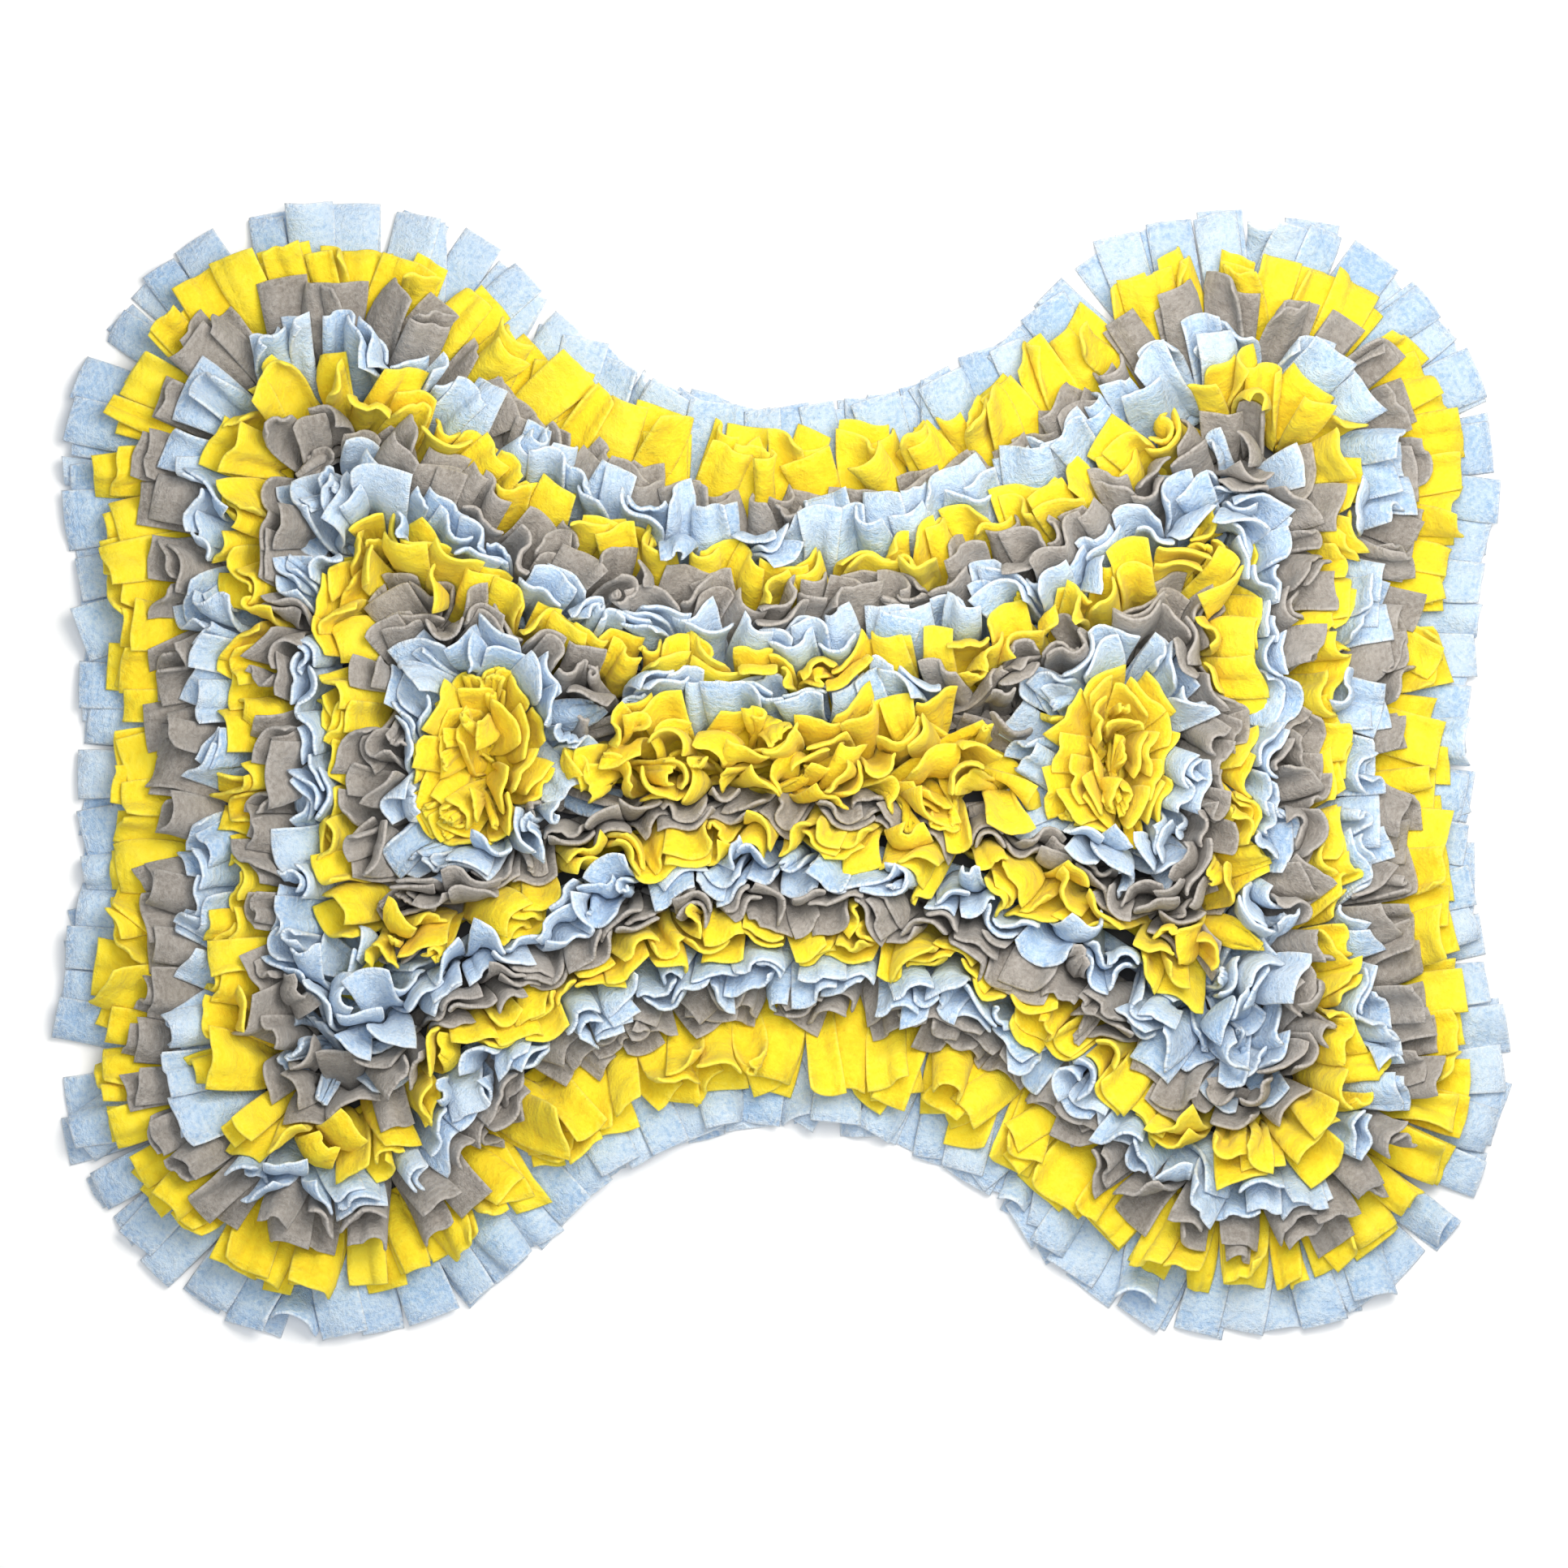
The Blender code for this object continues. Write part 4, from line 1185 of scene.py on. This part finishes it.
def fleece(name, shade, body, light, fleck_and_edge_light, grain, flecks, sheen, pile):
    """Brushed fleece: a cloudy pile over small pills, with a painted highlight along its cut edges.

    shade, body and light are the colours of hollows, face and pills: the fleece's own mottle,
    with painted shade in the bump's hollows and a painted highlight on its pills. bloom is
    the colour of the painted highlight along the cut edges, and of the flecks. grain is how
    strongly the pills show, and pile how deep they are.
    """
    material, wire, shader = new_finish(
        name, Roughness=0.92, Sheen_Weight=sheen, Sheen_Roughness=0.55, Specular_IOR_Level=0.12
    )
    place = wire.node("ShaderNodeUVMap", {"uv_map": "cloth"})
    hills = wire.node("ShaderNodeTexNoise", vector=place, scale=55.0, detail=1.0)
    cloud = wire.node("ShaderNodeTexNoise", vector=place, scale=110.0, detail=3.0, roughness=0.6)
    pills = wire.node("ShaderNodeTexNoise", vector=place, scale=420.0, detail=4.0, roughness=0.65)
    fuzz = wire.node("ShaderNodeTexNoise", vector=place, scale=1500.0, detail=2.0)
    cut = wire.node("ShaderNodeAttribute", {"attribute_name": "cut"}, output="Fac")
    tint = wire.node("ShaderNodeAttribute", {"attribute_name": "tint"}, output="Fac")
    mottle = (cloud - 0.5) * 0.8 + (pills - 0.5) * grain + tint * 0.09 + 0.5
    stops = ((0.15, (*shade, 1)), (0.5, (*body, 1)), (0.85, (*light, 1)))
    face = wire.node("ShaderNodeValToRGB", {"stops": stops}, fac=mottle)
    # painted highlight: where the cut mask is high, along the cut edges, the face is painted towards
    # bloom; the flecks are the fleece's own
    painted_edge_light = wire.maths("MULTIPLY", cut * 1.3 - 0.45 + (pills - 0.5) * 1.8, 1.0, clamp=True)
    specks = wire.maths("MULTIPLY", (fuzz - 0.62) * 9 + (pills - 0.5) * 2, flecks, clamp=True)
    bright = wire.maths("MAXIMUM", painted_edge_light, specks)
    wire.plug(shader.inputs["Base Color"], bright.blend(face, (*fleck_and_edge_light, 1)))
    height = hills * 2.4 + cloud * 1.2 + pills * (1.3 * pile) + fuzz * (0.5 * pile)
    bump = wire.node("ShaderNodeBump", strength=0.85, distance=0.0013, height=height)
    wire.plug(shader.inputs["Normal"], bump)
    return material


def strips_in(colour):
    """The names of one colour's strips, from the rim in."""
    return [name for name in dict.fromkeys(ruffle["name"] for ruffle in ruffles) if colour in name]


# ------------------------------------------------------------------ light blue ruffles
# Pale blue fleece, well brushed and pilled, with a whitish painted highlight along the flaps' cut
# edges.
# The rim, the fourth and seventh rows, the waist's ninth row and the two loops are blue.

sky_fleece = fleece(
    "fleece_sky",
    shade=(0.33, 0.50, 0.74),
    body=(0.51, 0.65, 0.82),
    light=(0.62, 0.73, 0.85),
    # bloom: the colour of the painted highlight along the cut edges, and of the flecks
    fleck_and_edge_light=(0.77, 0.825, 0.875),
    grain=1.6,
    flecks=0.45,
    sheen=0.3,
    pile=1.2,
)
for name in strips_in("sky"):
    ruffle_piece(name, sky_fleece)

# ------------------------------------------------------------------ yellow ruffles
# Egg-yolk yellow fleece of a closer, smoother brush. It makes the second, fifth and eighth
# rows, the knots inside the two loops and the two strips down the middle.

yolk_fleece = fleece(
    "fleece_yolk",
    shade=(0.83, 0.57, 0.018),
    body=(0.87, 0.68, 0.030),
    light=(0.89, 0.73, 0.055),
    # bloom: the colour of the painted highlight along the cut edges
    fleck_and_edge_light=(0.91, 0.77, 0.10),
    grain=0.9,
    flecks=0.0,
    sheen=0.12,
    pile=0.5,
)
for name in strips_in("yolk"):
    ruffle_piece(name, yolk_fleece)

# ------------------------------------------------------------------ taupe ruffles
# Warm grey fleece, finely flecked. It makes the third and sixth rows and both halves of
# the ninth, round the knots.

taupe_fleece = fleece(
    "fleece_taupe",
    shade=(0.235, 0.21, 0.185),
    body=(0.325, 0.297, 0.268),
    light=(0.41, 0.38, 0.35),
    # bloom: the colour of the painted highlight along the cut edges, and of the flecks
    fleck_and_edge_light=(0.47, 0.44, 0.41),
    grain=1.5,
    flecks=0.8,
    sheen=0.25,
    pile=1.0,
)
for name in strips_in("taupe"):
    ruffle_piece(name, taupe_fleece)

# ------------------------------------------------------------------ studio
# A white sheet to lie on, an even pale sky, a warm lamp at the far right, a large soft one
# straight above, a weak one on the near side, and a camera almost straight above.

FLOOR_HALF = 3.0
floor = add_mesh(
    "floor",
    np.array([(-1, -1, 0), (1, -1, 0), (1, 1, 0), (-1, 1, 0)]) * FLOOR_HALF,
    np.array([[0, 1, 2, 3]]),
)
floor_white = new_finish("floor_white", Base_Color=(0.95, 0.95, 0.95, 1), Roughness=0.9)[0]
floor.data.materials.append(floor_white)

world = bpy.data.worlds.new("studio")
bpy.context.scene.world = world
world.use_nodes = True
sky = world.node_tree.nodes["Background"]
sky.inputs["Color"].default_value = (0.88, 0.94, 1.0, 1)
sky.inputs["Strength"].default_value = 0.44


def aim(thing, place, target):
    """Puts a lamp or camera at a place, facing a target."""
    thing.location = Vector(place)
    thing.rotation_euler = (Vector(target) - Vector(place)).to_track_quat("-Z", "Y").to_euler()
    bpy.context.scene.collection.objects.link(thing)


for name, place, size, power, colour in (
    ("key_lamp", (0.25, 0.25, 0.85), 0.55, 9.4, (1.0, 0.95, 0.88)),
    ("fill_lamp", (0.0, 0.0, 2.6), 0.8, 13.0, (0.96, 0.98, 1.0)),
    ("near_lamp", (-0.05, -0.6, 0.95), 0.6, 1.5, (1.0, 0.96, 0.91)),
):
    lamp = bpy.data.lights.new(name, "AREA")
    lamp.size = size
    lamp.energy = power
    lamp.color = colour
    lamp_object = bpy.data.objects.new(name, lamp)
    lamp_object.visible_camera = False
    aim(lamp_object, place, (0, 0, 0))

CAMERA_HEIGHT = 2.4
VIEW_WIDTH = 0.7506
CAMERA_TILT = math.radians(87)
LOOK_AT = (0.0023, -0.0074, 0.02)
camera = bpy.data.cameras.new("camera")
camera.angle = 2 * math.atan(VIEW_WIDTH / 2 / CAMERA_HEIGHT)
camera_object = bpy.data.objects.new("camera", camera)
aim(
    camera_object,
    (
        LOOK_AT[0],
        LOOK_AT[1] - CAMERA_HEIGHT * math.cos(CAMERA_TILT),
        LOOK_AT[2] + CAMERA_HEIGHT * math.sin(CAMERA_TILT),
    ),
    LOOK_AT,
)
bpy.context.scene.camera = camera_object
bpy.context.scene.view_settings.view_transform = "Standard"
